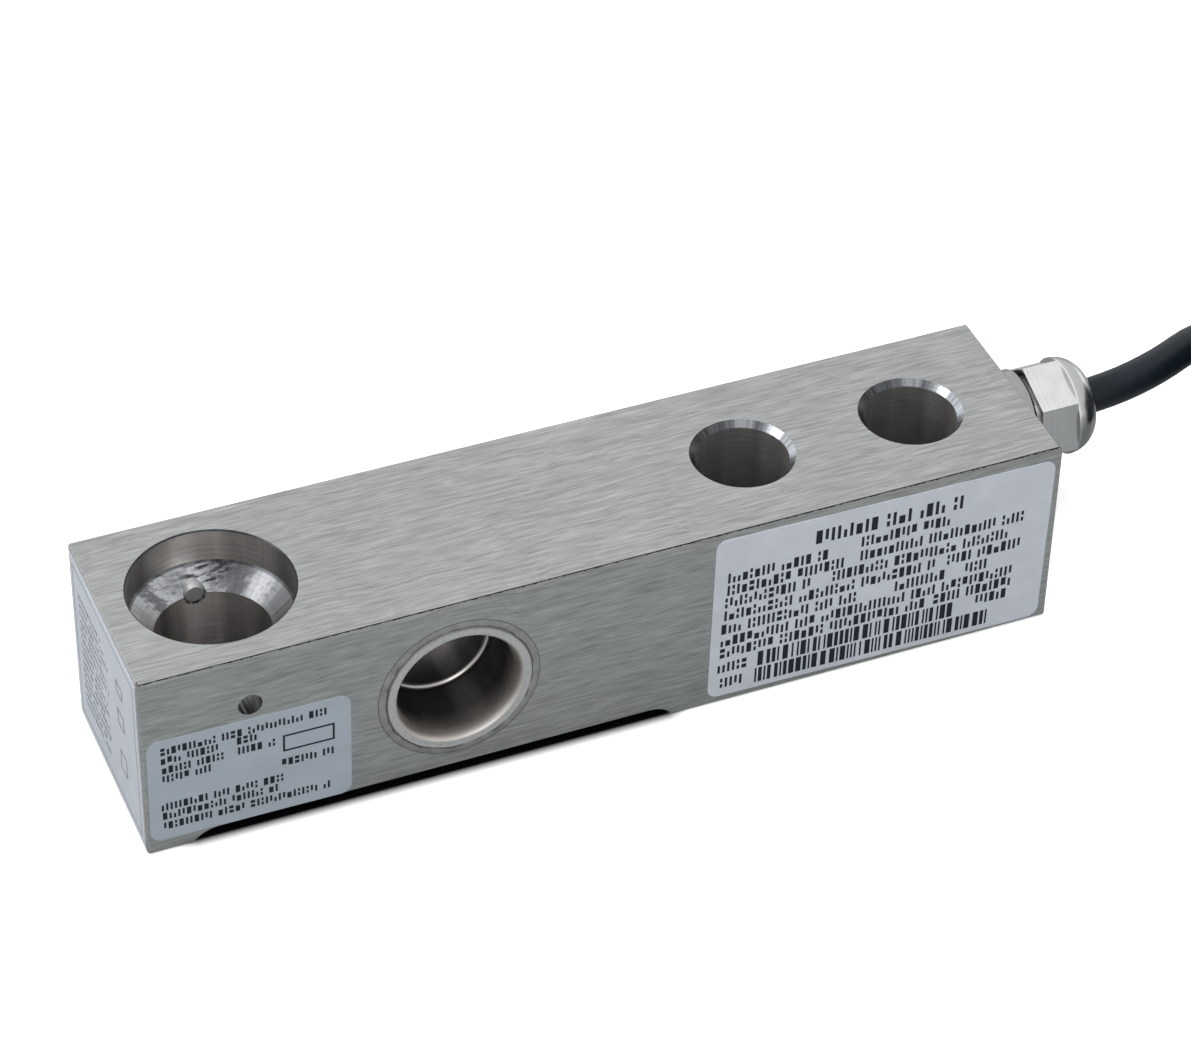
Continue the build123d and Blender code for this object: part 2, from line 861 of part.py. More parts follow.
conductor_places = {
    "conductor_red": (-1, 1, inner_conductor_bend),
    "conductor_black": (1, 1, outer_conductor_bend),
    "conductor_green": (-1, -1, inner_conductor_bend),
    "conductor_white": (1, -1, outer_conductor_bend),
}
conductor_ends = []
for name, (out, up, bend) in conductor_places.items():
    end = make_conductor(
        name, out * conductor_spread, up * conductor_spread, bend, conductor_diameter
    )
    conductor_ends.append(end)
make_conductor("shield_drain", 0, 0, drain_bend, tip_diameter)

with BuildPart() as tinned_tips:
    with BuildSketch(*conductor_ends):
        Circle(tip_diameter / 2)
    extrude(amount=tip_length)
save(tinned_tips, "tinned_tips")
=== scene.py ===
"""Dresses a shear beam load cell: its steels, printed labels, cable, floor, light and camera."""

import functools
import logging
import math
import random
from dataclasses import dataclass
from enum import Enum

import bpy
from mathutils import Matrix, Vector


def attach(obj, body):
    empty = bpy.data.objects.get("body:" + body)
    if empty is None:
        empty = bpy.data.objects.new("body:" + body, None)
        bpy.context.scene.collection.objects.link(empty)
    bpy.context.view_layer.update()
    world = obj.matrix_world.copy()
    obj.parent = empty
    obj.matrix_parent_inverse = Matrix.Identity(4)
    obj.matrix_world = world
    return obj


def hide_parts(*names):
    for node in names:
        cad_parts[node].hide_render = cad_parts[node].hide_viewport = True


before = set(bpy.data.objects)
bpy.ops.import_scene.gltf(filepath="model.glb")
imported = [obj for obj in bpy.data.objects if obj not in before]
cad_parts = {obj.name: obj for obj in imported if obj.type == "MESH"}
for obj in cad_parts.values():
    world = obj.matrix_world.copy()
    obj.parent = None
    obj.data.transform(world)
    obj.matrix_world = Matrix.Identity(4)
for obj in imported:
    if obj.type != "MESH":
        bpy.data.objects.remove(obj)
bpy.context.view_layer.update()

MM = 0.001
log = logging.getLogger("load_cell")

Socket = bpy.types.NodeSocket
Value = object  # a node's output, a number or a tuple
Look = dict[str, Value]
Layer = tuple[Socket, Value]  # a mask, and the colour that it lays on
Colour = tuple[float, float, float]
Triple = tuple[float, float, float]
Span = tuple[float, float, float, float]  # from low and high to bottom and top
Tones = tuple[tuple[str, Span], ...]  # ranges, each with the name of what is read over it


# Places that the finishes share, in millimetres in the row's frame
@dataclass(frozen=True)
class BeamPlaces:
    """Where the beam's faces, holes and pockets lie."""

    load_end: float = -103.9
    half_width: float = 15.15
    height: float = 30.3
    load_hole_x: float = -88.9
    seat_radius: float = 11.25
    seat_floor: float = 25.2
    pin_height: float = 22.2
    cross_hole_radius: float = 1.68
    bolt_x: float = 12.7
    bolt_radius: float = 6.5
    bolt_bevel: float = 0.85
    pocket_x: float = -59.85
    pocket_height: float = 15.6


PLACES = BeamPlaces()
ACROSS_UPRIGHT = (1.0, 1.0, 0.0)
ACROSS_LEVEL = (1.0, 0.0, 1.0)


class Run(Enum):
    """The way that grain, draw lines or turning marks run over a piece."""

    ALONG_X = (1.0, 0.0, 0.0)
    ALONG_Y = (0.0, 1.0, 0.0)
    ALONG_Z = (0.0, 0.0, 1.0)

    def stretch(self, along: float, across: float) -> Triple:
        """How a pattern's place is scaled, along the run and across it."""
        return tuple(along if part else across for part in self.value)


def rgba(value: Value) -> Value:
    """A colour with its alpha, or an output as it is."""
    return (*value, 1.0) if isinstance(value, tuple) else value


class ShaderTree:
    """A shader node tree with short calls for the nodes that the finishes use."""

    def __init__(self, tree: bpy.types.NodeTree) -> None:
        """Keeps the tree and empties it."""
        self.tree = tree
        tree.nodes.clear()

    def fill(self, kind: str, inputs: dict[int | str, Value], **settings: object) -> bpy.types.Node:
        """Adds a node.

        Args:
            kind: The node's type name.
            inputs: What goes into its inputs, by number or name.
            settings: Properties of the node.

        Returns:
            The new node.
        """
        node = self.tree.nodes.new(kind)
        for name, value in settings.items():
            setattr(node, name, value)
        for key, value in inputs.items():
            self.feed(node.inputs[key], value)
        return node

    def add(self, kind: str, *values: Value, **settings: object) -> bpy.types.Node:
        """Adds a node whose inputs are given in order."""
        return self.fill(kind, dict(enumerate(values)), **settings)

    def feed(self, socket: Socket, value: Value) -> None:
        """Links an output to a socket, or sets the socket's own value.

        Args:
            socket: The input to feed.
            value: What goes into it.
        """
        if isinstance(value, Socket):
            self.tree.links.new(value, socket)
        else:
            socket.default_value = value

    def math(self, operation: str, *values: Value) -> Socket:
        """The result of a math node."""
        return self.add("ShaderNodeMath", *values, operation=operation).outputs[0]

    def chain(self, operation: str, values: tuple[Value, ...]) -> Socket:
        """Joins two or more values by one operation."""
        return functools.reduce(lambda first, second: self.math(operation, first, second), values)

    def product(self, *values: Value) -> Socket:
        """All the values multiplied together."""
        return self.chain("MULTIPLY", values)

    def total(self, *values: Value) -> Socket:
        """All the values added up."""
        return self.chain("ADD", values)

    def greatest(self, *values: Value) -> Socket:
        """The greatest of the values."""
        return self.chain("MAXIMUM", values)

    def vector(self, operation: str, *values: Value) -> Socket:
        """The vector that a vector math node gives."""
        return self.add("ShaderNodeVectorMath", *values, operation=operation).outputs[0]

    def measure(self, operation: str, *values: Value) -> Socket:
        """The number that a vector math node gives, such as a length or a dot product."""
        return self.add("ShaderNodeVectorMath", *values, operation=operation).outputs["Value"]

    def parts(self, vector: Value) -> tuple[Socket, ...]:
        """A vector's x, y and z."""
        return tuple(self.add("ShaderNodeSeparateXYZ", vector).outputs)

    def noise(self, place: Value, scale: float, detail: float = 2.0) -> Socket:
        """A noise texture's value, about 0.5 on average."""
        inputs = {"Vector": place, "Scale": scale, "Detail": detail}
        return self.fill("ShaderNodeTexNoise", inputs).outputs[0]

    def between(
        self, value: Value, low: Value, high: Value, bottom: float = 0.0, top: float = 1.0
    ) -> Socket:
        """Value from low to high as bottom to top, held at both ends."""
        return self.add("ShaderNodeMapRange", value, low, high, bottom, top).outputs[0]

    def swing(self, noise: Value, bottom: float, top: float) -> Socket:
        """A noise over its usual range as bottom to top."""
        return self.between(noise, 0.3, 0.7, bottom, top)

    def mix(self, share: Value, first: Value, second: Value) -> Socket:
        """A value from first to second as share goes from 0 to 1."""
        inputs = {0: share, 2: first, 3: second}
        return self.fill("ShaderNodeMix", inputs, data_type="FLOAT").outputs[0]

    def blend(self, share: Value, first: Value, second: Value) -> Socket:
        """A colour from first to second as share goes from 0 to 1."""
        inputs = {0: share, 6: rgba(first), 7: rgba(second)}
        return self.fill("ShaderNodeMix", inputs, data_type="RGBA").outputs[2]

    def tint(self, colour: Value, tone: Value) -> Socket:
        """A colour or a vector times a number, which is about 1 for a colour."""
        inputs = {0: colour, "Scale": tone}
        return self.fill("ShaderNodeVectorMath", inputs, operation="SCALE").outputs[0]

    def relief(self, height: Value, depth_mm: float) -> Socket:
        """The surface's normal where a pattern from 0 to 1 stands on it, this high at 1."""
        inputs = {"Strength": 1.0, "Distance": depth_mm * MM, "Height": height}
        return self.fill("ShaderNodeBump", inputs).outputs[0]

    def place_mm(self) -> Socket:
        """The point on the piece in the row's frame, in millimetres."""
        return self.tint(self.add("ShaderNodeTexCoord").outputs["Object"], 1 / MM)

    def facing(self) -> tuple[Socket, ...]:
        """The x, y and z of the way that the surface faces."""
        return self.parts(self.add("ShaderNodeNewGeometry").outputs["Normal"])


class Effect:
    """A node group that more than one finish uses, built when it is first used."""

    name: str
    inputs: dict[str, str]
    outputs: tuple[str, ...]
    _built: dict[str, bpy.types.NodeTree] = {}

    @classmethod
    def draw(cls, shader: ShaderTree, *given: Socket) -> tuple[Socket, ...]:
        """Draws the group; its inputs are given in order, and its outputs returned in order."""
        raise NotImplementedError

    @classmethod
    def use(cls, shader: ShaderTree, *values: Value) -> list[Socket]:
        """Places the group in a finish.

        Args:
            shader: The material's tree.
            values: What goes into the group's inputs in order.

        Returns:
            The group's outputs in order.
        """
        if cls.name not in cls._built:
            tree = bpy.data.node_groups.new(cls.name, "ShaderNodeTree")
            for name, kind in cls.inputs.items():
                tree.interface.new_socket(name, in_out="INPUT", socket_type=f"NodeSocket{kind}")
            for name in cls.outputs:
                tree.interface.new_socket(name, in_out="OUTPUT", socket_type="NodeSocketFloat")
            inner = ShaderTree(tree)
            given = inner.add("NodeGroupInput").outputs
            inner.add("NodeGroupOutput", *cls.draw(inner, *(given[name] for name in cls.inputs)))
            cls._built[cls.name] = tree
        return list(shader.add("ShaderNodeGroup", *values, node_tree=cls._built[cls.name]).outputs)


class RunningGrain(Effect):
    """Fine streaks that run one way: a height and a tone, both about 0.5."""

    name = "Running grain"
    inputs = {"Place": "Vector", "Broad": "Vector", "Fine": "Vector"}
    outputs = ("Height", "Tone")

    @classmethod
    def draw(cls, shader: ShaderTree, *given: Socket) -> tuple[Socket, ...]:
        """Bends the place so that streaks waver, and adds up broad, fine and cloudy noise.

        Args:
            shader: The group's tree.
            given: The place, and its stretch for broad streaks and for fine ones.

        Returns:
            The height and the tone.
        """
        place, broad_stretch, fine_stretch = given
        waver = shader.product(shader.noise(place, 0.09, 1.0), 1.2)
        bent = shader.vector("ADD", place, shader.tint((0.0, 1.0, 1.0), waver))
        broad = shader.noise(shader.vector("MULTIPLY", bent, broad_stretch), 1.0, 3.0)
        fine = shader.noise(shader.vector("MULTIPLY", bent, fine_stretch), 1.0)
        cloud = shader.noise(place, 0.05, 1.0)
        tone = shader.total(
            shader.product(broad, 0.5), shader.product(fine, 0.4), shader.product(cloud, 0.1)
        )
        return shader.mix(0.6, broad, fine), tone

    @classmethod
    def along(
        cls, shader: ShaderTree, place: Socket, run: Run,
        broad: tuple[float, float], fine: tuple[float, float],
    ) -> list[Socket]:
        """Uses the grain on a run; broad and fine each hold a stretch along it and one across."""
        return cls.use(shader, place, run.stretch(*broad), run.stretch(*fine))


class RoundRegion(Effect):
    """The inside of a round hole or boss: a mask, and the distance from its axis."""

    name = "Round region"
    inputs = {"Place": "Vector", "Centre": "Vector", "Across": "Vector", "Radius": "Float", "Soft": "Float"}
    outputs = ("Mask", "Distance")

    @classmethod
    def draw(cls, shader: ShaderTree, *given: Socket) -> tuple[Socket, ...]:
        """Measures from the axis, and masks what lies within the radius.

        Args:
            shader: The group's tree.
            given: The place, a centre, the axes across the hole, its radius and its edge's softness.

        Returns:
            The mask and the distance.
        """
        place, centre, across, radius, soft = given
        offset = shader.vector("SUBTRACT", place, centre)
        distance = shader.measure("LENGTH", shader.vector("MULTIPLY", offset, across))
        low, high = shader.math("SUBTRACT", radius, soft), shader.math("ADD", radius, soft)
        return shader.between(distance, low, high, 1.0, 0.0), distance


class BoreBands(Effect):
    """Tones that change only with the direction round an axis, as on a machined bore.

    Broad and fine bands are about 0.5. Side and back say how far a point lies to the cable's
    side and to the back, from -1 to 1.
    """

    name = "Bands round a bore"
    inputs = {"Place": "Vector", "Centre": "Vector", "Across": "Vector", "Count": "Float"}
    outputs = ("Broad", "Fine", "Side", "Back")

    @classmethod
    def draw(cls, shader: ShaderTree, *given: Socket) -> tuple[Socket, ...]:
        """Reads noise on a circle, whose size sets how many bands there are.

        Args:
            shader: The group's tree.
            given: The place, a centre, the axes across the bore and the number of bands.

        Returns:
            The broad and fine bands, and how far to the side and to the back the point lies.
        """
        place, centre, across, count = given
        offset = shader.vector("SUBTRACT", place, centre)
        way = shader.vector("NORMALIZE", shader.vector("MULTIPLY", offset, across))
        circle = shader.tint(way, count)
        side, back = (
            shader.measure("DOT_PRODUCT", way, run.value) for run in (Run.ALONG_X, Run.ALONG_Y)
        )
        return shader.noise(circle, 1.0, 1.0), shader.noise(circle, 9.0), side, back


class TurningRings(Effect):
    """Marks that a cutting tool leaves round an axis: a height and a tone, both about 0.5."""

    name = "Turning rings"
    inputs = {"Place": "Vector", "Axis": "Vector", "Density": "Float"}
    outputs = ("Height", "Tone")

    @classmethod
    def draw(cls, shader: ShaderTree, *given: Socket) -> tuple[Socket, ...]:
        """Sets even rings among uneven ones and soft patches.

        Args:
            shader: The group's tree.
            given: The place, the axis and the number of rings per millimetre.

        Returns:
            The height and the tone.
        """
        place, axis, density = given
        step = shader.product(shader.measure("DOT_PRODUCT", place, axis), density)
        wave = shader.math("SINE", shader.product(step, math.tau))
        drift = shader.noise(shader.add("ShaderNodeCombineXYZ", step).outputs[0], 0.7, 3.0)
        patch = shader.noise(place, 0.35)
        height = shader.total(shader.product(wave, 0.18), shader.mix(0.35, drift, patch))
        return height, shader.mix(0.4, drift, patch)


class HandlingMarks(Effect):
    """Soft smears from handling, as a mask."""

    name = "Handling marks"
    inputs = {"Place": "Vector"}
    outputs = ("Smears",)

    @classmethod
    def draw(cls, shader: ShaderTree, *given: Socket) -> tuple[Socket, ...]:
        """Masks the peaks of a slow noise, read at the given place."""
        return (shader.between(shader.noise(given[0], 0.12, 3.0), 0.45, 0.7),)


@dataclass(frozen=True)
class Finish:
    """What every finish has: a name, a colour, how rough and metallic it is, and its gloss."""

    name: str
    colour: Colour
    roughness: float
    metallic: float = 0.0
    specular: float = 0.5

    def pattern(self, shader: ShaderTree) -> Look:
        """What changes over the surface, by the principled shader's socket."""
        raise NotImplementedError

    def material(self) -> bpy.types.Material:
        """Builds the finish.

        Returns:
            A material with a principled shader, fed by the finish's own pattern.
        """
        made = bpy.data.materials.new(self.name)
        made.use_nodes = True
        made.diffuse_color = rgba(self.colour)
        shader = ShaderTree(made.node_tree)
        surface = shader.add("ShaderNodeBsdfPrincipled")
        shader.add("ShaderNodeOutputMaterial", surface.outputs[0])
        looks = {
            "Base Color": rgba(self.colour), "Roughness": self.roughness,
            "Metallic": self.metallic, "Specular IOR Level": self.specular,
        }
        for name, value in (*looks.items(), *self.pattern(shader).items()):
            shader.feed(surface.inputs[name], value)
        return made


@dataclass(frozen=True)
class BrushedSteel(Finish):
    """Steel that is ground or drawn one way, with fine streaks."""

    metallic: float = 1.0
    run: Run = Run.ALONG_X
    spread: float = 0.08
    depth_mm: float = 0.004

    def pattern(self, shader: ShaderTree) -> Look:
        """Draws streaks in tone, roughness and relief.

        Args:
            shader: The material's tree.

        Returns:
            What feeds the shader.
        """
        height, streak = RunningGrain.along(
            shader, shader.place_mm(), self.run, broad=(0.1, 2.0), fine=(0.35, 6.0)
        )
        tone = shader.swing(streak, 1 - self.spread, 1 + self.spread)
        return {
            "Base Color": shader.tint(self.colour, tone),
            "Roughness": shader.swing(streak, self.roughness * 1.15, self.roughness * 0.88),
            "Normal": shader.relief(height, self.depth_mm),
        }


@dataclass(frozen=True)
class TurnedSteel(Finish):
    """Bright turned steel: faint rings round its axis, tones that step along it, and a painted shade on the
    faces that look down.
    """

    metallic: float = 1.0
    run: Run = Run.ALONG_X
    rings_per_mm: float = 4.0
    depth_mm: float = 0.003
    # Painted shade: faces that look down are darkened by this range.
    painted_shade_facing_down: Span = (0.05, 0.45, 0.58, 1.0)
    flange_tone: float = 0.48
    steps: tuple[tuple[float, float], ...] = ((34.5, 1.0), (40.95, 0.66), (42.6, 1.08), (43.25, 0.82))
    step_blur: float = 0.12
    smear_roughness: float = 1.5

    def pattern(self, shader: ShaderTree) -> Look:
        """Draws rings and steps in tone, rings in relief, and smears in the roughness.

        Args:
            shader: The material's tree.

        Returns:
            What feeds the shader.
        """
        place, axis = shader.place_mm(), self.run.value
        height, uneven = TurningRings.use(shader, place, axis, self.rings_per_mm)
        (smears,) = HandlingMarks.use(shader, place)
        _, _, up = shader.facing()
        along = shader.measure("DOT_PRODUCT", place, axis)
        level = self.flange_tone
        for start, step in self.steps:
            reached = shader.between(along, start - self.step_blur, start + self.step_blur)
            level = shader.mix(reached, level, step)
        # Painted shade on the faces that look down.
        painted_shade_below = shader.between(up, *self.painted_shade_facing_down)
        tone = shader.product(painted_shade_below, shader.swing(uneven, 0.88, 1.08), level)
        smeared = self.roughness * self.smear_roughness
        return {
            "Base Color": shader.tint(self.colour, tone),
            "Roughness": shader.mix(smears, self.roughness, smeared),
            "Normal": shader.relief(height, self.depth_mm),
        }


@dataclass(frozen=True)
class BeamPoint:
    """What the beam's finish knows of each point, as outputs of its nodes.

    The masks are 1 on slopes, on upright walls, in the load hole and in the mounting holes.
    Band, fine, side and back are the bands round the nearest upright hole.
    """

    shader: ShaderTree
    place: Socket
    depth: Socket
    up: Socket
    normal_y: Socket
    sloped: Socket
    upright: Socket
    load_hole: Socket
    bolt_holes: Socket
    turned: Socket
    band: Socket
    fine: Socket
    side: Socket
    back: Socket

    def tone(self, tones: Tones) -> Socket:
        """The product of some of the point's values, each read over its range."""
        parts = (self.shader.between(getattr(self, name), *span) for name, span in tones)
        return self.shader.product(*parts)


@dataclass(frozen=True)
class BeamSteel(Finish):
    """The ground beam: streaked faces, machined bores, scored cone, bright bevels, a dark worn edge, and
    painted shade on one side of the cone and of the bevels.
    """

    metallic: float = 1.0
    spread: float = 0.38
    depth_mm: float = 0.006
    broad_streaks: tuple[float, float] = (0.14, 2.4)
    fine_streaks: tuple[float, float] = (0.3, 7.0)
    rings_per_mm: float = 3.0
    turning: Span = (0.35, 0.65, 0.8, 1.16)
    load_band_count: float = 1.9
    bolt_band_count: float = 1.3
    rim_slack: float = 0.05
    bore_roughness: tuple[float, ...] = (0.36, 0.3, 0.2, 0.6)  # walls, cone, bevels, score
    wall_colour: Colour = (0.27, 0.26, 0.255)
    wall_metallic: float = 0.7
    wall_tones: Tones = (("band", (0.36, 0.64, 0.75, 1.2)), ("fine", (0.3, 0.7, 0.95, 1.05)))
    seat_colour: Colour = (0.80, 0.75, 0.715)
    seat_lit_way: tuple[float, float] = (0.34, 0.94)
    seat_lit: Span = (0.55, 0.93, 0.36, 1.2)
    seat_shade: Span = (0.35, 0.55, 1.0, 0.62)
    cone_colour: Colour = (0.56, 0.575, 0.60)
    # The side range is a painted shade: darker towards the cable's side.
    cone_tones_and_painted_shade: Tones = (
        ("fine", (0.38, 0.62, 0.86, 1.08)), ("side", (0.1, 0.85, 1.0, 0.4)),
        ("band", (0.35, 0.65, 0.85, 1.08)),
    )
    torn_stretch: Triple = (0.45, 1.7, 1.7)
    burnt_colour: Colour = (0.10, 0.105, 0.11)
    burnt: Span = (0.33, 0.41, 0.75, 0.0)
    seam: Span = (PLACES.seat_floor - 0.32, PLACES.seat_floor - 0.22, 0.0, 0.7)
    score_place: tuple[float, float] = (2.6, 9.6)
    score_stretch: Triple = (0.4, 1.0, 0.0)
    score_radius: float = 1.9
    score_blur: float = 0.8
    score: Span = (0.4, 0.58, 0.1, 0.92)
    rim: Span = (PLACES.height - 0.3, PLACES.height - 0.25, 0.0, 0.8)
    bevel_colour: Colour = (0.60, 0.63, 0.67)
    # The back and side ranges are a painted shade: darker towards the back and the load end.
    bevel_tones_and_painted_shade: Tones = (
        ("back", (0.0, 0.8, 1.0, 0.24)), ("side", (-0.7, 0.2, 0.3, 0.95)), ("fine", (0.35, 0.65, 0.7, 1.3)),
    )
    dark_colour: Colour = (0.03, 0.032, 0.036)
    edge_line: float = 0.12
    edge_ragged: Span = (0.35, 0.65, 0.6, 1.4)
    edge_bevel: Span = (0.85 - PLACES.half_width, 1.0 - PLACES.half_width, 1.0, 0.0)
    edge_shade: float = 0.48
    drill_band_count: float = 2.2
    drill_bands: Span = (0.42, 0.6, 0.3, 1.5)

    def survey(
        self, shader: ShaderTree, place: Socket, normal: tuple[Socket, ...], turned: Socket
    ) -> BeamPoint:
        """Works out the masks and the bands round the upright holes.

        Args:
            shader: The material's tree.
            place: The point in millimetres.
            normal: The way that the surface faces.
            turned: The tone of the turning rings.

        Returns:
            What is known of each point.
        """
        across, depth, up = shader.parts(place)
        _, normal_y, normal_z = normal
        steep = shader.math("ABSOLUTE", normal_z)
        not_flat = shader.between(steep, 0.93, 0.97, 1.0, 0.0)
        sloped = shader.product(shader.between(steep, 0.35, 0.45), not_flat)
        upright = shader.between(steep, 0.35, 0.45, 1.0, 0.0)
        bolt_reach = PLACES.bolt_radius + PLACES.bolt_bevel + self.rim_slack
        holes = (
            (PLACES.load_hole_x, PLACES.seat_radius + 0.3, self.load_band_count),
            (PLACES.bolt_x, bolt_reach, self.bolt_band_count),
            (-PLACES.bolt_x, bolt_reach, self.bolt_band_count),
        )
        insides, bands = [], []
        for x, reach, count in holes:
            centre = (x, 0.0, 0.0)
            insides.append(RoundRegion.use(shader, place, centre, ACROSS_UPRIGHT, reach, 0.01)[0])
            bands.append(BoreBands.use(shader, place, centre, ACROSS_UPRIGHT, count))
        load_hole, *bolt_holes = insides
        nearer_load = shader.between(across, -0.1, 0.1, 1.0, 0.0)
        nearest = (
            shader.mix(load_hole, shader.mix(nearer_load, cable_side, load_side), load)
            for load, cable_side, load_side in zip(*bands)
        )
        return BeamPoint(
            shader, place, depth, up, normal_y, sloped, upright, load_hole,
            shader.greatest(*bolt_holes), turned, *nearest,
        )

    def walls(self, point: BeamPoint) -> Layer:
        """The dark walls of the upright holes, with one side of the seat lit.

        Args:
            point: What is known of each point.

        Returns:
            The layer.
        """
        shader = point.shader
        mask = shader.product(shader.greatest(point.load_hole, point.bolt_holes), point.upright)
        to_side, to_back = self.seat_lit_way
        lit = shader.total(shader.product(point.side, to_side), shader.product(point.back, to_back))
        seat_tone = shader.product(
            shader.between(lit, *self.seat_lit), shader.between(point.side, *self.seat_shade)
        )
        seat = shader.tint(self.seat_colour, seat_tone)
        steel = shader.blend(point.load_hole, self.wall_colour, seat)
        return mask, shader.tint(steel, shader.product(point.tone(self.wall_tones), point.turned))

    def cone(self, point: BeamPoint) -> list[Layer]:
        """The bright cone under the seat, with a painted shade towards the cable's side, and its burnt
        blotches, score, seam and rim.

        Args:
            point: What is known of each point.

        Returns:
            The layers of the cone, the blotches, the seam, the score and the rim.
        """
        shader = point.shader
        mask = shader.product(point.load_hole, point.sloped)
        tone = shader.product(point.tone(self.cone_tones_and_painted_shade), point.turned)
        torn = shader.noise(shader.vector("MULTIPLY", point.place, self.torn_stretch), 1.0, 3.0)
        blotch = shader.total(point.band, shader.product(shader.math("SUBTRACT", torn, 0.5), 0.5))
        aside, back = self.score_place
        behind_pin, _ = RoundRegion.use(
            shader, point.place, (PLACES.load_hole_x + aside, back, 0.0), self.score_stretch,
            self.score_radius, self.score_blur,
        )
        marks = (
            (shader.between(blotch, *self.burnt), self.burnt_colour),
            (shader.between(point.up, *self.seam), self.dark_colour),
            (shader.product(behind_pin, shader.between(torn, *self.score)), self.dark_colour),
            (shader.between(point.up, *self.rim), self.dark_colour),
        )
        layers = [(mask, shader.tint(self.cone_colour, tone))]
        return layers + [(shader.product(mask, share), paint) for share, paint in marks]

    def bevels(self, point: BeamPoint) -> Layer:
        """The mounting holes' bright bevels, with a painted shade towards the back and towards the load end.
        """
        mask = point.shader.product(point.bolt_holes, point.sloped)
        return mask, point.shader.tint(self.bevel_colour, point.tone(self.bevel_tones_and_painted_shade))

    def front_edge(self, point: BeamPoint) -> tuple[Layer, Layer]:
        """The shaded top front edge and the ragged dark line on it.

        Args:
            point: What is known of each point.

        Returns:
            The layers of the shade and the line.
        """
        shader = point.shader
        ragged = shader.between(shader.noise(point.place, 1.7, 4.0), *self.edge_ragged)
        line_start = shader.math("SUBTRACT", PLACES.height, shader.product(ragged, self.edge_line))
        bevel = shader.product(shader.between(point.depth, *self.edge_bevel), point.sloped)
        worn = shader.product(shader.math("GREATER_THAN", point.up, line_start), bevel)
        return (shader.product(bevel, self.edge_shade), self.dark_colour), (worn, self.dark_colour)

    def cross_hole(self, point: BeamPoint) -> Layer:
        """The cross hole's wall, with soft bands round it.

        Args:
            point: What is known of each point.

        Returns:
            The layer.
        """
        shader = point.shader
        centre = (PLACES.load_hole_x, 0.0, PLACES.pin_height)
        reach = PLACES.cross_hole_radius + self.rim_slack
        inside, _ = RoundRegion.use(shader, point.place, centre, ACROSS_LEVEL, reach, 0.02)
        band, *_ = BoreBands.use(shader, point.place, centre, ACROSS_LEVEL, self.drill_band_count)
        aside = shader.between(shader.math("ABSOLUTE", point.normal_y), 0.5, 0.6, 1.0, 0.0)
        wall = shader.tint(self.colour, shader.between(band, *self.drill_bands))
        return shader.product(inside, aside), wall

    def pattern(self, shader: ShaderTree) -> Look:
        """Lays the walls, cone, bevels, edge and cross hole over the ground faces.

        Args:
            shader: The material's tree.

        Returns:
            What feeds the shader.
        """
        place, normal = shader.place_mm(), shader.facing()
        end_face = shader.between(shader.math("ABSOLUTE", normal[0]), 0.8, 0.9)
        height, streak = (
            shader.mix(end_face, on_side, on_end)
            for on_side, on_end in zip(*(
                RunningGrain.along(shader, place, run, self.broad_streaks, self.fine_streaks)
                for run in (Run.ALONG_X, Run.ALONG_Y)
            ))
        )
        ring_height, ring_tone = TurningRings.use(shader, place, Run.ALONG_Z.value, self.rings_per_mm)
        point = self.survey(shader, place, normal, shader.between(ring_tone, *self.turning))
        colour = shader.tint(self.colour, shader.swing(streak, 1 - self.spread, 1 + self.spread))
        wall, cone, bevel = self.walls(point), self.cone(point), self.bevels(point)
        for mask, paint in (wall, *cone, bevel, *self.front_edge(point), self.cross_hole(point)):
            colour = shader.blend(mask, colour, paint)
        rough = shader.swing(streak, self.roughness * 1.12, self.roughness * 0.9)
        masks = [mask for mask, _ in (wall, cone[0], bevel, cone[3])]
        for mask, value in zip(masks, self.bore_roughness):
            rough = shader.mix(mask, rough, value)
        machined = shader.greatest(*masks[:3])
        return {
            "Base Color": colour,
            "Roughness": rough,
            "Metallic": shader.mix(masks[0], self.metallic, self.wall_metallic),
            "Normal": shader.relief(shader.mix(machined, height, ring_height), self.depth_mm),
        }


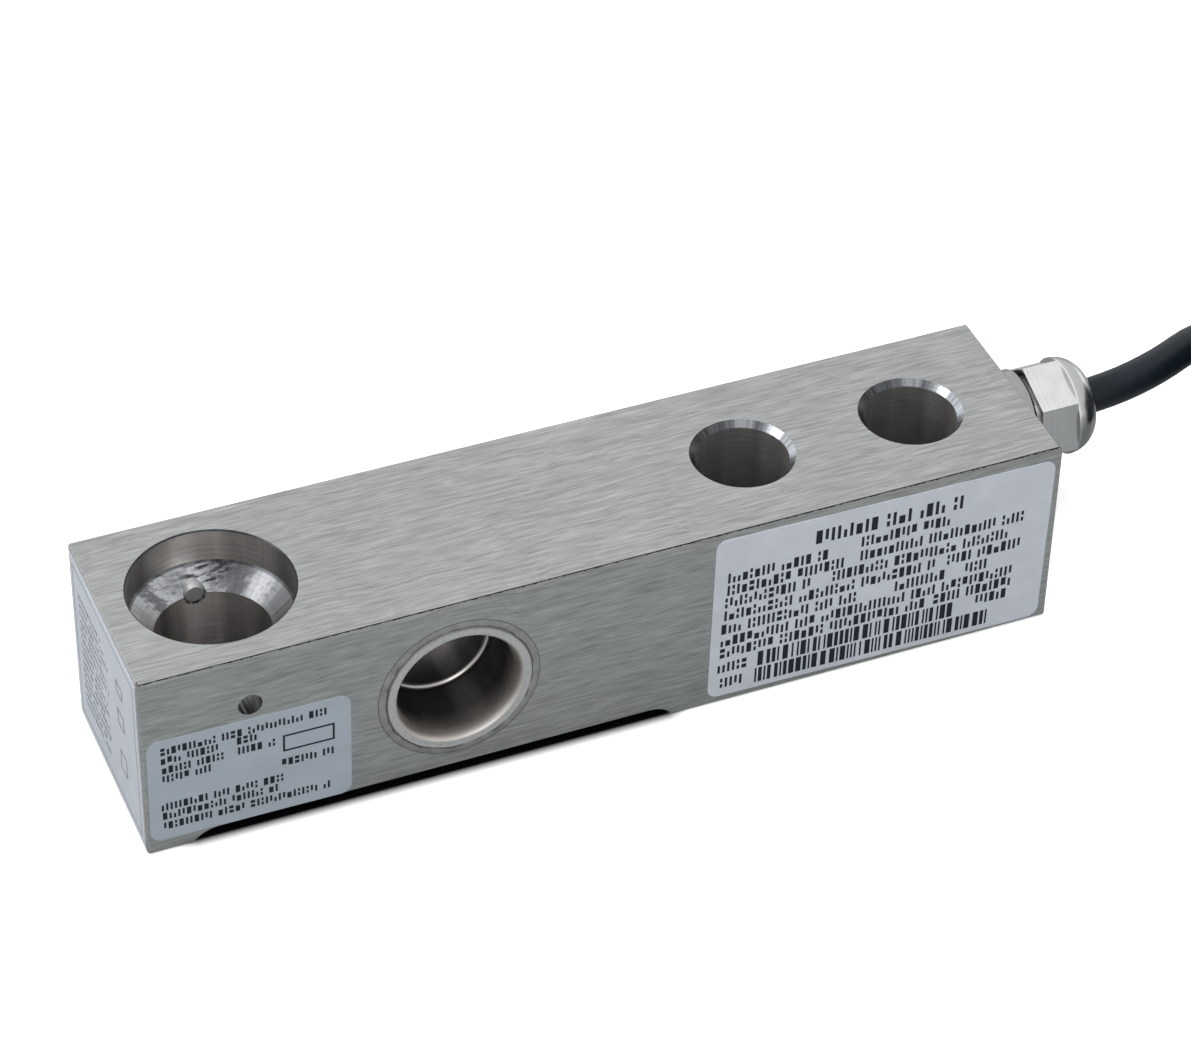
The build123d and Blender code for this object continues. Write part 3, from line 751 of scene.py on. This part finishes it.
@dataclass(frozen=True)
class CupSteel(Finish):
    """The drawn gauge cup: a matt lip, a dark polished wall and floor, a painted highlight in the bell
    mouth, painted light that brightens the wall towards the mouth and the floor towards its top, and a
    painted highlight ring in the floor's corner.
    """

    metallic: float = 1.0
    depth_mm: float = 0.002
    lip_colour: Colour = (0.66, 0.66, 0.665)
    lip_roughness: float = 0.5
    lip_radius: float = 9.22
    # Painted highlight: a lighter band just inside the bell mouth.
    bell_highlight_colour: Colour = (0.66, 0.62, 0.59)
    bell_roughness: float = 0.48
    bell_highlight: Span = (1.2, 4.5, 1.0, 0.0)
    # Painted light: the wall lighter towards the mouth, the floor lighter towards its top.
    wall: Span = (1.5, 7.0, 2.2, 1.0)
    floor_painted_light: Span = (-7.0, 7.0, 0.5, 2.6)
    floor_depth: tuple[float, float] = (9.6, 9.9)
    # A painted highlight ring where the wall turns into the floor.
    corner_highlight_colour: Colour = (0.62, 0.585, 0.56)
    corner_highlight_depth: tuple[float, float] = (9.3, 9.75)
    corner_highlight_radius: tuple[float, float] = (7.75, 7.95)
    corner_highlight_share: float = 0.75

    def pattern(self, shader: ShaderTree) -> Look:
        """Sets the lip and the painted highlight ring in the corner by the distance from the axis, and the
        rest, with its painted highlight and painted light, by the depth.

        Args:
            shader: The material's tree.

        Returns:
            What feeds the shader.
        """
        place = shader.place_mm()
        centre = (PLACES.pocket_x, 0.0, PLACES.pocket_height)
        lip, distance = RoundRegion.use(shader, place, centre, ACROSS_LEVEL, self.lip_radius, 0.06)
        height, lines = RunningGrain.along(shader, place, Run.ALONG_Y, broad=(0.2, 0.8), fine=(0.6, 3.0))
        _, depth, up = shader.parts(place)
        below = shader.math("SUBTRACT", PLACES.half_width, shader.math("ABSOLUTE", depth))
        above_axis = shader.math("SUBTRACT", up, PLACES.pocket_height)
        on_floor = shader.between(below, *self.floor_depth)
        # Painted light by the wall's depth and the floor's height.
        painted_light_by_depth = shader.mix(
            on_floor, shader.between(below, *self.wall), shader.between(above_axis, *self.floor_painted_light)
        )
        # Painted highlight in the bell mouth.
        bell_highlight = shader.between(below, *self.bell_highlight)
        tone = shader.product(shader.swing(lines, 0.8, 1.2), painted_light_by_depth)
        colour = shader.blend(bell_highlight, shader.tint(self.colour, tone), self.bell_highlight_colour)
        # Painted highlight ring in the floor's corner.
        corner_highlight = shader.product(
            shader.between(below, *self.corner_highlight_depth), shader.between(distance, *self.corner_highlight_radius),
            self.corner_highlight_share,
        )
        colour = shader.blend(corner_highlight, colour, self.corner_highlight_colour)
        lip_tone = shader.swing(shader.noise(place, 2.0), 0.9, 1.08)
        rough = shader.mix(bell_highlight, self.roughness, self.bell_roughness)
        return {
            "Base Color": shader.blend(lip, shader.tint(self.lip_colour, lip_tone), colour),
            "Roughness": shader.mix(lip, self.lip_roughness, rough),
            "Normal": shader.relief(height, self.depth_mm),
        }


@dataclass(frozen=True)
class WeldSteel(Finish):
    """A fine fused weld: ground nearly flush, with a thin dark outline and uneven ripples."""

    metallic: float = 1.0
    depth_mm: float = 0.02
    ripples: float = 150.0
    ripple_drift: float = 9.0
    cloud: Span = (0.35, 0.65, -0.16, 0.12)
    inner_radius: float = 10.42
    inner_wander: float = 0.9
    outer_radius: float = 11.49
    outline: float = 0.12
    outline_colour: Colour = (0.10, 0.095, 0.09)
    outline_share: float = 0.75

    def pattern(self, shader: ShaderTree) -> Look:
        """Sets ripples by the angle round the pocket's axis, and outlines by the distance.

        Args:
            shader: The material's tree.

        Returns:
            What feeds the shader.
        """
        place = shader.place_mm()
        offset = shader.vector("SUBTRACT", place, (PLACES.pocket_x, 0.0, PLACES.pocket_height))
        across, _, up = shader.parts(offset)
        patch = shader.noise(place, 0.45, 3.0)
        angle = shader.product(shader.math("ARCTAN2", up, across), self.ripples)
        wave = shader.math("SINE", shader.total(angle, shader.product(patch, self.ripple_drift)))
        tone = shader.total(
            shader.between(wave, -1.0, 1.0, 0.95, 1.03), shader.between(patch, *self.cloud)
        )
        distance = shader.measure("LENGTH", shader.vector("MULTIPLY", offset, ACROSS_LEVEL))
        wander = shader.product(shader.math("SUBTRACT", patch, 0.5), self.inner_wander)
        outer = shader.math("COMPARE", distance, self.outer_radius, self.outline / 2)
        inner = shader.math("COMPARE", shader.total(distance, wander), self.inner_radius, self.outline)
        line = shader.product(shader.greatest(outer, inner), self.outline_share)
        return {
            "Base Color": shader.blend(line, shader.tint(self.colour, tone), self.outline_colour),
            "Normal": shader.relief(shader.mix(0.5, wave, patch), self.depth_mm),
        }


@dataclass(frozen=True)
class LabelFoil(Finish):
    """Silver label foil: a soft satin sheet with a faint rubbed mottle."""

    rubbed_tone: float = 1.03
    rubbed_roughness: float = 1.2
    depth_mm: float = 0.003

    def pattern(self, shader: ShaderTree) -> Look:
        """Draws a cloudy tone and roughness, and a fine foil texture.

        Args:
            shader: The material's tree.

        Returns:
            What feeds the shader.
        """
        place = shader.place_mm()
        (smears,) = HandlingMarks.use(shader, place)
        cloud = shader.swing(shader.noise(place, 0.25, 4.0), 0.95, 1.04)
        rubbed = shader.mix(smears, cloud, shader.product(cloud, self.rubbed_tone))
        rough = shader.mix(smears, self.roughness, self.roughness * self.rubbed_roughness)
        return {
            "Base Color": shader.tint(self.colour, rubbed),
            "Roughness": rough,
            "Normal": shader.relief(shader.noise(place, 6.0), self.depth_mm),
        }


@dataclass(frozen=True)
class Jacket(Finish):
    """An extruded cable jacket: smooth, with a faint dusty bloom."""

    specular: float = 0.25
    bloom: tuple[float, float] = (0.85, 1.35)
    bloom_roughness: float = 1.25
    depth_mm: float = 0.012

    def pattern(self, shader: ShaderTree) -> Look:
        """Draws a slight bloom in tone and roughness, and a very fine skin.

        Args:
            shader: The material's tree.

        Returns:
            What feeds the shader.
        """
        place = shader.place_mm()
        (smears,) = HandlingMarks.use(shader, place)
        rough = shader.mix(smears, self.roughness, self.roughness * self.bloom_roughness)
        return {
            "Base Color": shader.tint(self.colour, shader.mix(smears, *self.bloom)),
            "Roughness": rough,
            "Normal": shader.relief(shader.noise(place, 3.0, 4.0), self.depth_mm),
        }


@dataclass(frozen=True)
class Moulded(Finish):
    """A moulded or cast soft or plastic piece, with a fine even skin."""

    spread: float = 0.06
    depth_mm: float = 0.006

    def pattern(self, shader: ShaderTree) -> Look:
        """Draws a fine skin with an even mottle.

        Args:
            shader: The material's tree.

        Returns:
            What feeds the shader.
        """
        place = shader.place_mm()
        tone = shader.swing(shader.noise(place, 1.5, 3.0), 1 - self.spread, 1 + self.spread)
        return {
            "Base Color": shader.tint(self.colour, tone),
            "Normal": shader.relief(shader.noise(place, 5.0, 3.0), self.depth_mm),
        }


class Palette:
    """Every finish of the load cell, built once."""

    beam = BeamSteel("ground_beam_steel", (0.46, 0.47, 0.465), 0.34)
    pin = BrushedSteel("ground_pin_steel", (0.50, 0.505, 0.51), 0.42, 0.6, run=Run.ALONG_Y)
    cup = CupSteel("drawn_cup_steel", (0.13, 0.125, 0.125), 0.24)
    weld = WeldSteel("fused_weld_steel", (0.42, 0.42, 0.42), 0.4)
    gland = TurnedSteel("turned_gland_steel", (0.86, 0.87, 0.88), 0.2)
    label = LabelFoil("label_foil", (0.58, 0.61, 0.665), 0.42, 0.25)
    dull_label = LabelFoil("dull_label_foil", (0.385, 0.43, 0.485), 0.42, 0.25)
    ink = Moulded("label_ink", (0.010, 0.012, 0.020), 0.6, specular=0.25)
    faint_ink = Moulded("label_faint_ink", (0.20, 0.215, 0.25), 0.6, specular=0.25)
    jacket = Jacket("cable_jacket", (0.006, 0.0095, 0.0145), 0.34)
    rubber = Moulded("black_rubber", (0.02, 0.02, 0.021), 0.6)
    nylon = Moulded("black_nylon", (0.016, 0.016, 0.017), 0.42)
    ring = Moulded("natural_nylon", (0.70, 0.69, 0.64), 0.4)
    film = Moulded("amber_film", (0.42, 0.19, 0.03), 0.25)
    foil = BrushedSteel("gauge_foil", (0.45, 0.38, 0.30), 0.3)
    silicone = Moulded("clear_silicone", (0.62, 0.65, 0.66), 0.2)
    board = Moulded("green_board", (0.02, 0.14, 0.05), 0.3)
    chip = Moulded("black_chip", (0.02, 0.02, 0.022), 0.35)
    wire = Moulded("wire_insulation", (0.62, 0.60, 0.54), 0.4)
    red = Moulded("red_core", (0.42, 0.012, 0.012), 0.38)
    black = Moulded("black_core", (0.015, 0.015, 0.015), 0.38)
    green = Moulded("green_core", (0.01, 0.19, 0.04), 0.38)
    white = Moulded("white_core", (0.72, 0.72, 0.69), 0.38)
    tinned = BrushedSteel("tinned_strands", (0.62, 0.61, 0.58), 0.3)

    _made: dict[str, bpy.types.Material] = {}

    @classmethod
    def get(cls, finish: Finish) -> bpy.types.Material:
        """The material of a finish, made on first use.

        Args:
            finish: The finish.

        Returns:
            Its material.
        """
        if finish.name not in cls._made:
            cls._made[finish.name] = finish.material()
        return cls._made[finish.name]


def start_fresh() -> None:
    """Deselects everything before a new piece is made."""
    bpy.ops.object.select_all(action="DESELECT")


def apply_place() -> None:
    """Applies the selected piece's place, turn and scale to its mesh."""
    bpy.ops.object.transform_apply(location=True, rotation=True, scale=True)


def settle(piece: bpy.types.Object, name: str, finish: Finish) -> None:
    """Names a new piece, applies its place to its mesh, and lets it ride on the part.

    Args:
        piece: The new piece.
        name: Its name.
        finish: Its finish.
    """
    start_fresh()
    piece.select_set(True)
    bpy.context.view_layer.objects.active = piece
    apply_place()
    piece.name = piece.data.name = name
    piece.data.materials.clear()
    piece.data.materials.append(Palette.get(finish))
    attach(piece, "root")
    log.info("%s: %d faces", name, len(piece.data.polygons))


class Mark(Enum):
    """Which of a mark's five cells carry ink, from the bottom up."""

    TALL = (True, True, True, True, True)
    SHORT = (True, True, True, True, False)
    LOW = (True, True, True, False, False)
    HIGH = (False, True, True, True, True)
    SPLIT = (True, True, False, True, True)
    BLANK = (False, False, False, False, False)


@dataclass(frozen=True)
class Band:
    """A row of print: where it starts and ends, how far down its middle is, how tall it is, and its step."""

    start: float
    end: float
    down: float
    tall: float
    step: float

    @property
    def columns(self) -> int:
        """How many cells fit into the row, at least three."""
        return max(3, round((self.end - self.start) / self.step))


def lines(tall: float, step: float, *places: Triple) -> tuple[Band, ...]:
    """Rows of one height and step, each with its start, its end and how far down it is."""
    return tuple(Band(*place, tall, step) for place in places)


@dataclass
class PrintedLabel:
    """Print on a label as plain strokes, with no lettering. Sizes are in millimetres."""

    name: str
    width: float
    height: float
    centre: Triple
    right: Triple
    face: Triple
    turn: float
    rows: tuple[Band, ...]
    bars: tuple[Band, ...] = ()
    frames: tuple[Band, ...] = ()
    ink: Finish = Palette.ink
    thickness: float = 0.02
    seed: int = 7
    marks: tuple[Mark, ...] = (Mark.TALL, Mark.TALL, Mark.TALL, Mark.SHORT, Mark.LOW, Mark.HIGH, Mark.SPLIT)
    first_word: tuple[int, int] = (4, 14)
    other_words: tuple[int, int] = (4, 18)

    def plane(self) -> Matrix:
        """The label's own frame: x along its print, y up it and z out of it.

        Returns:
            A matrix from the label's millimetres to the row's frame.
        """
        right, out = Vector(self.right), Vector(self.face)
        axes = Matrix((right, out.cross(right), out)).transposed().to_4x4()
        place = Matrix.Translation(Vector(self.centre) * MM) @ axes
        return place @ Matrix.Rotation(math.radians(self.turn), 4, "Z") @ Matrix.Scale(MM, 4)

    def lay(self, band: Band, length: float) -> bpy.types.Object:
        """Stretches the new flat piece over its row, in the label's own frame.

        Args:
            band: The row.
            length: How long the piece gets.

        Returns:
            The piece.
        """
        sheet = bpy.context.object
        sheet.scale = (length, band.tall, 1.0)
        sheet.location = (band.start + (length - self.width) / 2, self.height / 2 - band.down, 0.0)
        apply_place()
        return sheet

    def cells(self, band: Band, inked: list[tuple[bool, ...]]) -> bpy.types.Object:
        """Makes a grid over a row and deletes the cells that carry no ink.

        Args:
            band: The row.
            inked: Columns from the left, each with its cells from the bottom up.

        Returns:
            The row as a flat piece.
        """
        start_fresh()
        bpy.ops.mesh.primitive_grid_add(
            x_subdivisions=band.columns, y_subdivisions=len(inked[0]), size=1.0
        )
        row = self.lay(band, band.columns * band.step)
        faces = sorted(row.data.polygons, key=lambda face: (round(face.center.x, 4), face.center.y))
        for face, keep in zip(faces, (cell for column in inked for cell in column)):
            face.select = not keep
        bpy.context.tool_settings.mesh_select_mode = (False, False, True)
        bpy.ops.object.mode_set(mode="EDIT")
        bpy.ops.mesh.delete(type="FACE")
        bpy.ops.object.mode_set(mode="OBJECT")
        return row

    def words(self, band: Band, dice: random.Random) -> bpy.types.Object:
        """A row of small upright marks, grouped like words.

        Args:
            band: The row.
            dice: What draws the marks.

        Returns:
            The row.
        """
        inked, left = [], dice.randint(*self.first_word)
        while len(inked) < band.columns:
            inked += [dice.choice(self.marks).value] * dice.choice((1, 1, 1, 2)) + [Mark.BLANK.value]
            left -= 1
            if left <= 0:
                inked += [Mark.BLANK.value] * 2
                left = dice.randint(*self.other_words)
        return self.cells(band, inked[:band.columns])

    def field(self, band: Band, dice: random.Random) -> bpy.types.Object:
        """An even field of upright bars.

        Args:
            band: The row.
            dice: What draws the bars.

        Returns:
            The field.
        """
        inked = []
        while len(inked) < band.columns:
            inked += [(True,)] * dice.choice((1, 1, 2, 3)) + [(False,)] * dice.choice((1, 1, 2))
        return self.cells(band, inked[:band.columns])

    def outline(self, band: Band) -> bpy.types.Object:
        """A plain outline whose line is the band's step wide.

        Args:
            band: The outline's place and size.

        Returns:
            The outline.
        """
        start_fresh()
        bpy.ops.mesh.primitive_plane_add(size=1.0)
        sheet = self.lay(band, band.end - band.start)
        bpy.ops.object.mode_set(mode="EDIT")
        bpy.ops.mesh.select_mode(type="FACE")
        bpy.ops.mesh.select_all(action="SELECT")
        bpy.ops.mesh.inset(thickness=band.step)
        bpy.ops.mesh.delete(type="FACE")
        bpy.ops.object.mode_set(mode="OBJECT")
        return sheet

    def build(self) -> None:
        """Joins the rows, gives them their thickness and lays them on the label."""
        dice = random.Random(self.seed)
        rows = [self.words(band, dice) for band in self.rows]
        rows += [self.field(band, dice) for band in self.bars]
        rows += [self.outline(band) for band in self.frames]
        start_fresh()
        for row in rows:
            row.select_set(True)
        printed = rows[0]
        bpy.context.view_layer.objects.active = printed
        bpy.ops.object.join()
        bpy.ops.object.mode_set(mode="EDIT")
        bpy.ops.mesh.select_all(action="SELECT")
        bpy.ops.mesh.extrude_region_move(TRANSFORM_OT_translate={"value": (0.0, 0.0, self.thickness)})
        bpy.ops.mesh.select_all(action="SELECT")
        bpy.ops.mesh.normals_make_consistent(inside=False)
        bpy.ops.object.mode_set(mode="OBJECT")
        printed.matrix_world = self.plane()
        settle(printed, self.name, self.ink)


@dataclass
class Labels:
    """The print on the three foil labels."""

    foil_thickness: float = 0.12
    rating_size: tuple[float, float] = (50.8, 28.2)
    approval_size: tuple[float, float] = (28.1, 17.6)
    end_size: tuple[float, float] = (28.8, 28.8)

    @property
    def front(self) -> float:
        """How far back the front labels' faces lie."""
        return -PLACES.half_width - self.foil_thickness

    def rating(self) -> PrintedLabel:
        """The large front label: a title, rows of marks and two fields of bars.

        Returns:
            The label's print.
        """
        return PrintedLabel(
            "rating_print", *self.rating_size, (PLACES.load_end + 106.0, self.front, 15.1),
            Run.ALONG_X.value, (0.0, -1.0, 0.0), -0.8,
            rows=(
                Band(14.8, 36.9, 3.4, 2.3, 0.46),
                *lines(
                    1.75, 0.36, (2.0, 17.3, 6.9), (21.8, 35.1, 6.2), (2.0, 19.6, 9.1), (21.8, 47.1, 8.7),
                    (1.8, 14.3, 11.3), (17.8, 44.4, 11.2), (1.8, 33.9, 13.6), (35.4, 46.4, 13.5),
                    (1.5, 22.0, 16.0), (27.6, 35.6, 16.0), (38.4, 42.1, 15.9),
                ),
                *lines(
                    1.7, 0.36, (1.5, 46.1, 18.3), (1.5, 32.3, 20.4), (33.9, 46.1, 20.3),
                    (1.3, 6.3, 23.1), (40.6, 45.4, 22.4), (1.8, 5.3, 25.9),
                ),
            ),
            bars=lines(2.6, 0.27, (7.3, 37.6, 23.0), (7.0, 42.6, 26.0)),
        )

    def approval(self) -> PrintedLabel:
        """The small front label: rows of marks and an outline.

        Returns:
            The label's print.
        """
        return PrintedLabel(
            "approval_print", *self.approval_size, (PLACES.load_end + 14.6, self.front, 10.95),
            Run.ALONG_X.value, (0.0, -1.0, 0.0), -0.6,
            rows=lines(
                1.25, 0.3, (1.9, 25.0, 1.9), (1.9, 9.7, 3.5), (12.3, 15.5, 3.3), (2.0, 11.3, 5.2),
                (12.4, 17.4, 5.1), (2.0, 8.9, 6.8), (18.4, 25.6, 9.2), (1.7, 18.5, 11.8),
                (1.8, 18.0, 13.4), (1.9, 24.9, 15.2),
            ),
            frames=(Band(18.6, 25.8, 5.8, 2.9, 0.28),),
            seed=11,
        )

    def end(self) -> PrintedLabel:
        """The end label: faint rows of marks, three outlines and a border.

        Returns:
            The label's print.
        """
        return PrintedLabel(
            "end_print", *self.end_size, (PLACES.load_end - self.foil_thickness, 0.0, PLACES.height / 2),
            (0.0, -1.0, 0.0), (-1.0, 0.0, 0.0), 0.0,
            rows=lines(0.75, 0.3, *((3.4, 13.0 + 1.5 * (row % 3), 5.2 + row * 1.45) for row in range(14))),
            frames=(
                Band(1.2, 27.6, 14.4, 26.4, 0.14), Band(19.6, 22.4, 7.2, 2.0, 0.3),
                Band(19.6, 22.4, 12.6, 2.8, 0.3), Band(19.6, 22.4, 20.4, 3.4, 0.3),
            ),
            ink=Palette.faint_ink, seed=5,
        )

    def build(self) -> None:
        """Lays the print on the labels."""
        for label in (self.rating(), self.approval(), self.end()):
            label.build()


@dataclass
class Cable:
    """The cable: its route out of the gland and down, then its coil. Sizes are in millimetres."""

    diameter: float = 5.2
    route: tuple[Triple, ...] = (
        (34.2, 7.65, 17.4), (46.0, 7.65, 17.4), (57.6, 10.2, 17.2), (69.2, 16.2, 16.2),
        (79.7, 19.6, 9.8), (91.2, 20.4, 3.4), (109.189, 19.772, 3.4),
    )
    exit: Triple = (44.8, 7.65, 17.4)
    coil_centre: tuple[float, float] = (108.097, -11.509)
    entry_angle: float = 88.0
    inner_turn: float = 20.8
    pitch: float = 5.25
    steps_wide: int = 2
    layers: int = 7
    climb_turns: float = 0.5
    points_per_turn: int = 16
    length_m: float = 2.87
    far_pieces: tuple[str, ...] = (
        "coil_tie", "conductor_red", "conductor_black", "conductor_green", "conductor_white",
        "shield_drain", "tinned_tips",
    )

    def on_coil(self, radius: float, degrees: float, height: float) -> Triple:
        """A point at a radius, angle and height round the coil's axis."""
        turned, (x, y) = math.radians(degrees), self.coil_centre
        return x + radius * math.cos(turned), y + radius * math.sin(turned), height

    def coil(self) -> list[Triple]:
        """The coil's turns from the bottom layer up.

        Returns:
            Control points, one set after another for each layer and each climb between layers.
        """
        outer = self.inner_turn + self.steps_wide * self.pitch
        legs = []
        for layer in range(self.layers):
            start, end = (outer, self.inner_turn) if layer % 2 == 0 else (self.inner_turn, outer)
            legs += [(float(self.steps_wide), start, end, 0.0), (self.climb_turns, end, end, self.pitch)]
        legs.pop()

        # Control points lie a little outside the smooth line that they draw
        step = 360.0 / self.points_per_turn
        swell = 1 / (0.75 + 0.25 * math.cos(math.radians(step)))
        angle, height = self.entry_angle, self.route[-1][2]
        points = []
        for turns, start, end, rise in legs:
            count = round(turns * self.points_per_turn)
            for index in range(1, count + 1):
                share = index / count
                radius = (start + (end - start) * share) * swell
                points.append(self.on_coil(radius, angle - index * step, height + rise * share))
            angle -= count * step
            height += rise
        points[-1] = self.on_coil(self.inner_turn, angle, height)
        return points

    def build(self) -> None:
        """Draws the cable as one smooth line with a round section."""
        curve = bpy.data.curves.new("cable", "CURVE")
        curve.dimensions = "3D"
        curve.bevel_depth = self.diameter / 2 * MM
        curve.bevel_resolution = 6
        curve.resolution_u = 5
        curve.use_fill_caps = True
        points = [*self.route, *self.coil()]
        spline = curve.splines.new("NURBS")
        spline.points.add(len(points) - 1)
        for point, place in zip(spline.points, points):
            point.co = (*(part * MM for part in place), 1.0)
        spline.order_u = 3
        spline.use_endpoint_u = True
        cable = bpy.data.objects.new("cable", curve)
        bpy.context.scene.collection.objects.link(cable)
        curve.materials.append(Palette.get(Palette.jacket))
        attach(cable, "root")
        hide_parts("cable_lead", "cable_coil")
        log.info("cable: %d control points", len(points))


def both_sides(piece: str, finish: Finish) -> dict[str, Finish]:
    """One finish for a piece in front and its mirror image behind."""
    return {f"{side}_{piece}": finish for side in ("front", "rear")}


class CadPieces:
    """The CAD's pieces: the metalwork, the labels, and what is sealed inside or put away."""

    finishes: dict[str, Finish] = {
        "beam_body": Palette.beam,
        "locating_pin": Palette.pin,
        **both_sides("gauge_cup", Palette.cup),
        **both_sides("cup_weld", Palette.weld),
        "gland_body": Palette.gland,
        "gland_nut": Palette.gland,
        "rating_label": Palette.label,
        "approval_label": Palette.dull_label,
        "end_label": Palette.label,
        **both_sides("gauge_film", Palette.film),
        **both_sides("gauge_grids", Palette.foil),
        **both_sides("gauge_coating", Palette.silicone),
        "bridge_board": Palette.board,
        "trim_resistors": Palette.chip,
        "bridge_wires": Palette.wire,
        "signal_wires": Palette.wire,
        "channel_seal": Palette.silicone,
        "gland_gasket": Palette.rubber,
        "gland_seal": Palette.rubber,
        "thrust_ring": Palette.ring,
        "coil_tie": Palette.nylon,
        "conductor_red": Palette.red,
        "conductor_black": Palette.black,
        "conductor_green": Palette.green,
        "conductor_white": Palette.white,
        "shield_drain": Palette.tinned,
        "tinned_tips": Palette.tinned,
    }

    def build(self) -> None:
        """Gives each node its finish."""
        for node, finish in self.finishes.items():
            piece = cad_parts[node]
            piece.data.materials.clear()
            piece.data.materials.append(Palette.get(finish))
            log.info("%s: %s", node, finish.name)


@dataclass(frozen=True)
class Softbox:
    """A flat lamp: where it stands, its size, its power, and whether metal mirrors it."""

    name: str
    place: Triple
    size: tuple[float, float]
    power: float
    mirrored: bool = True
    aim: Triple = (-0.04, 0.0, 0.015)

    def build(self) -> None:
        """Makes the lamp and turns it to its aim."""
        lamp = bpy.data.lights.new(self.name, "AREA")
        lamp.shape = "RECTANGLE"
        lamp.size, lamp.size_y = self.size
        lamp.energy = self.power
        holder = bpy.data.objects.new(self.name, lamp)
        holder.location = self.place
        ahead = Vector(self.aim) - Vector(self.place)
        holder.rotation_euler = ahead.to_track_quat("-Z", "Y").to_euler()
        holder.visible_glossy = self.mirrored
        bpy.context.scene.collection.objects.link(holder)


@dataclass(frozen=True)
class FloorFinish(Finish):
    """The pale floor: white to the eye, dimmer in reflections, with a painted black shadow in the gap under
    the beam.
    """

    specular: float = 0.0
    mirrored_colour: Colour = (0.30, 0.31, 0.31)
    # Painted shadow: the floor black in the gap under the beam.
    gap_shadow_colour: Colour = (0.004, 0.004, 0.005)
    gap_middle: float = -63.1
    gap_reach: float = 35.5
    gap_half_width: float = 14.9
    gap_blur: float = 1.5
    front_blur: float = 0.3
    lift: float = 0.3

    def pattern(self, shader: ShaderTree) -> Look:
        """Mixes the three tones by ray and by place.

        Args:
            shader: The material's tree.

        Returns:
            What feeds the shader.
        """
        across, depth, _ = shader.parts(shader.place_mm())
        seen = shader.add("ShaderNodeLightPath").outputs["Is Camera Ray"]
        aside = shader.math("ABSOLUTE", shader.math("SUBTRACT", across, self.gap_middle))
        reach, width, blur = self.gap_reach, self.gap_half_width, self.gap_blur
        # Painted shadow in the gap under the beam.
        gap_shadow = shader.product(
            shader.between(aside, reach - blur, reach + blur, 1.0, 0.0),
            shader.between(shader.math("ABSOLUTE", depth), width - self.front_blur, width + blur, 1.0, 0.0),
        )
        floor = shader.blend(seen, self.mirrored_colour, self.colour)
        lift = shader.product(seen, shader.math("SUBTRACT", 1.0, gap_shadow))
        return {
            "Base Color": shader.blend(gap_shadow, floor, self.gap_shadow_colour),
            "Emission Color": shader.tint((1.0, 1.0, 1.0), lift),
            "Emission Strength": self.lift,
        }


@dataclass
class Studio:
    """The pale floor, the light and the camera. Sizes are in metres."""

    floor_size: float = 8.0
    floor_finish: FloorFinish = FloorFinish("pale_floor", (0.93, 0.93, 0.93), 0.9)
    sky_colour: Colour = (0.985, 0.995, 1.0)
    sky_strength: float = 0.87
    boxes: tuple[Softbox, ...] = (
        Softbox("top_box", (-0.1, -0.1, 1.3), (1.2, 1.2), 12.0, mirrored=False),
        Softbox("front_box", (-0.55, -1.2, 1.15), (0.9, 0.9), 4.5),
        Softbox("left_box", (-1.1, 0.2, 0.7), (0.6, 0.6), 4.0),
    )
    camera_place: Triple = (-0.2052, -0.39975, 0.39588)
    camera_ahead: Triple = (0.29856, 0.69823, -0.65064)
    camera_roll: float = 1.352
    focal_pixels: float = 4208.09
    photo_width: float = 1191.0
    sensor_mm: float = 36.0
    clip_start: float = 0.01

    def floor(self) -> None:
        """Lays the floor."""
        start_fresh()
        bpy.ops.mesh.primitive_plane_add(size=self.floor_size)
        floor = bpy.context.object
        floor.name = "floor"
        floor.data.materials.append(Palette.get(self.floor_finish))

    def light(self) -> None:
        """Sets the sky and the soft boxes."""
        scene = bpy.context.scene
        scene.world = bpy.data.worlds.new("studio")
        scene.world.use_nodes = True
        sky = scene.world.node_tree.nodes["Background"]
        sky.inputs["Color"].default_value = rgba(self.sky_colour)
        sky.inputs["Strength"].default_value = self.sky_strength
        scene.view_settings.view_transform = "Standard"
        for box in self.boxes:
            box.build()

    def camera(self) -> None:
        """Places the camera as the photograph was taken."""
        lens = bpy.data.cameras.new("camera")
        lens.sensor_width = self.sensor_mm
        lens.lens = self.focal_pixels / self.photo_width * self.sensor_mm
        lens.clip_start = self.clip_start
        ahead = Vector(self.camera_ahead).normalized()
        level = ahead.cross(Vector(Run.ALONG_Z.value)).normalized()
        roll = math.radians(self.camera_roll)
        right = level * math.cos(roll) + level.cross(ahead) * math.sin(roll)
        axes = Matrix((right, right.cross(ahead), -ahead)).transposed()
        camera = bpy.data.objects.new("camera", lens)
        camera.matrix_world = Matrix.Translation(Vector(self.camera_place)) @ axes.to_4x4()
        bpy.context.scene.collection.objects.link(camera)
        bpy.context.scene.camera = camera

    def build(self) -> None:
        """Builds the studio."""
        self.floor()
        self.light()
        self.camera()


def main() -> None:
    """Builds the scene in order."""
    logging.basicConfig(level=logging.INFO, format="%(message)s")
    Studio().build()
    Cable().build()
    CadPieces().build()
    Labels().build()


if __name__ == "__main__":
    main()
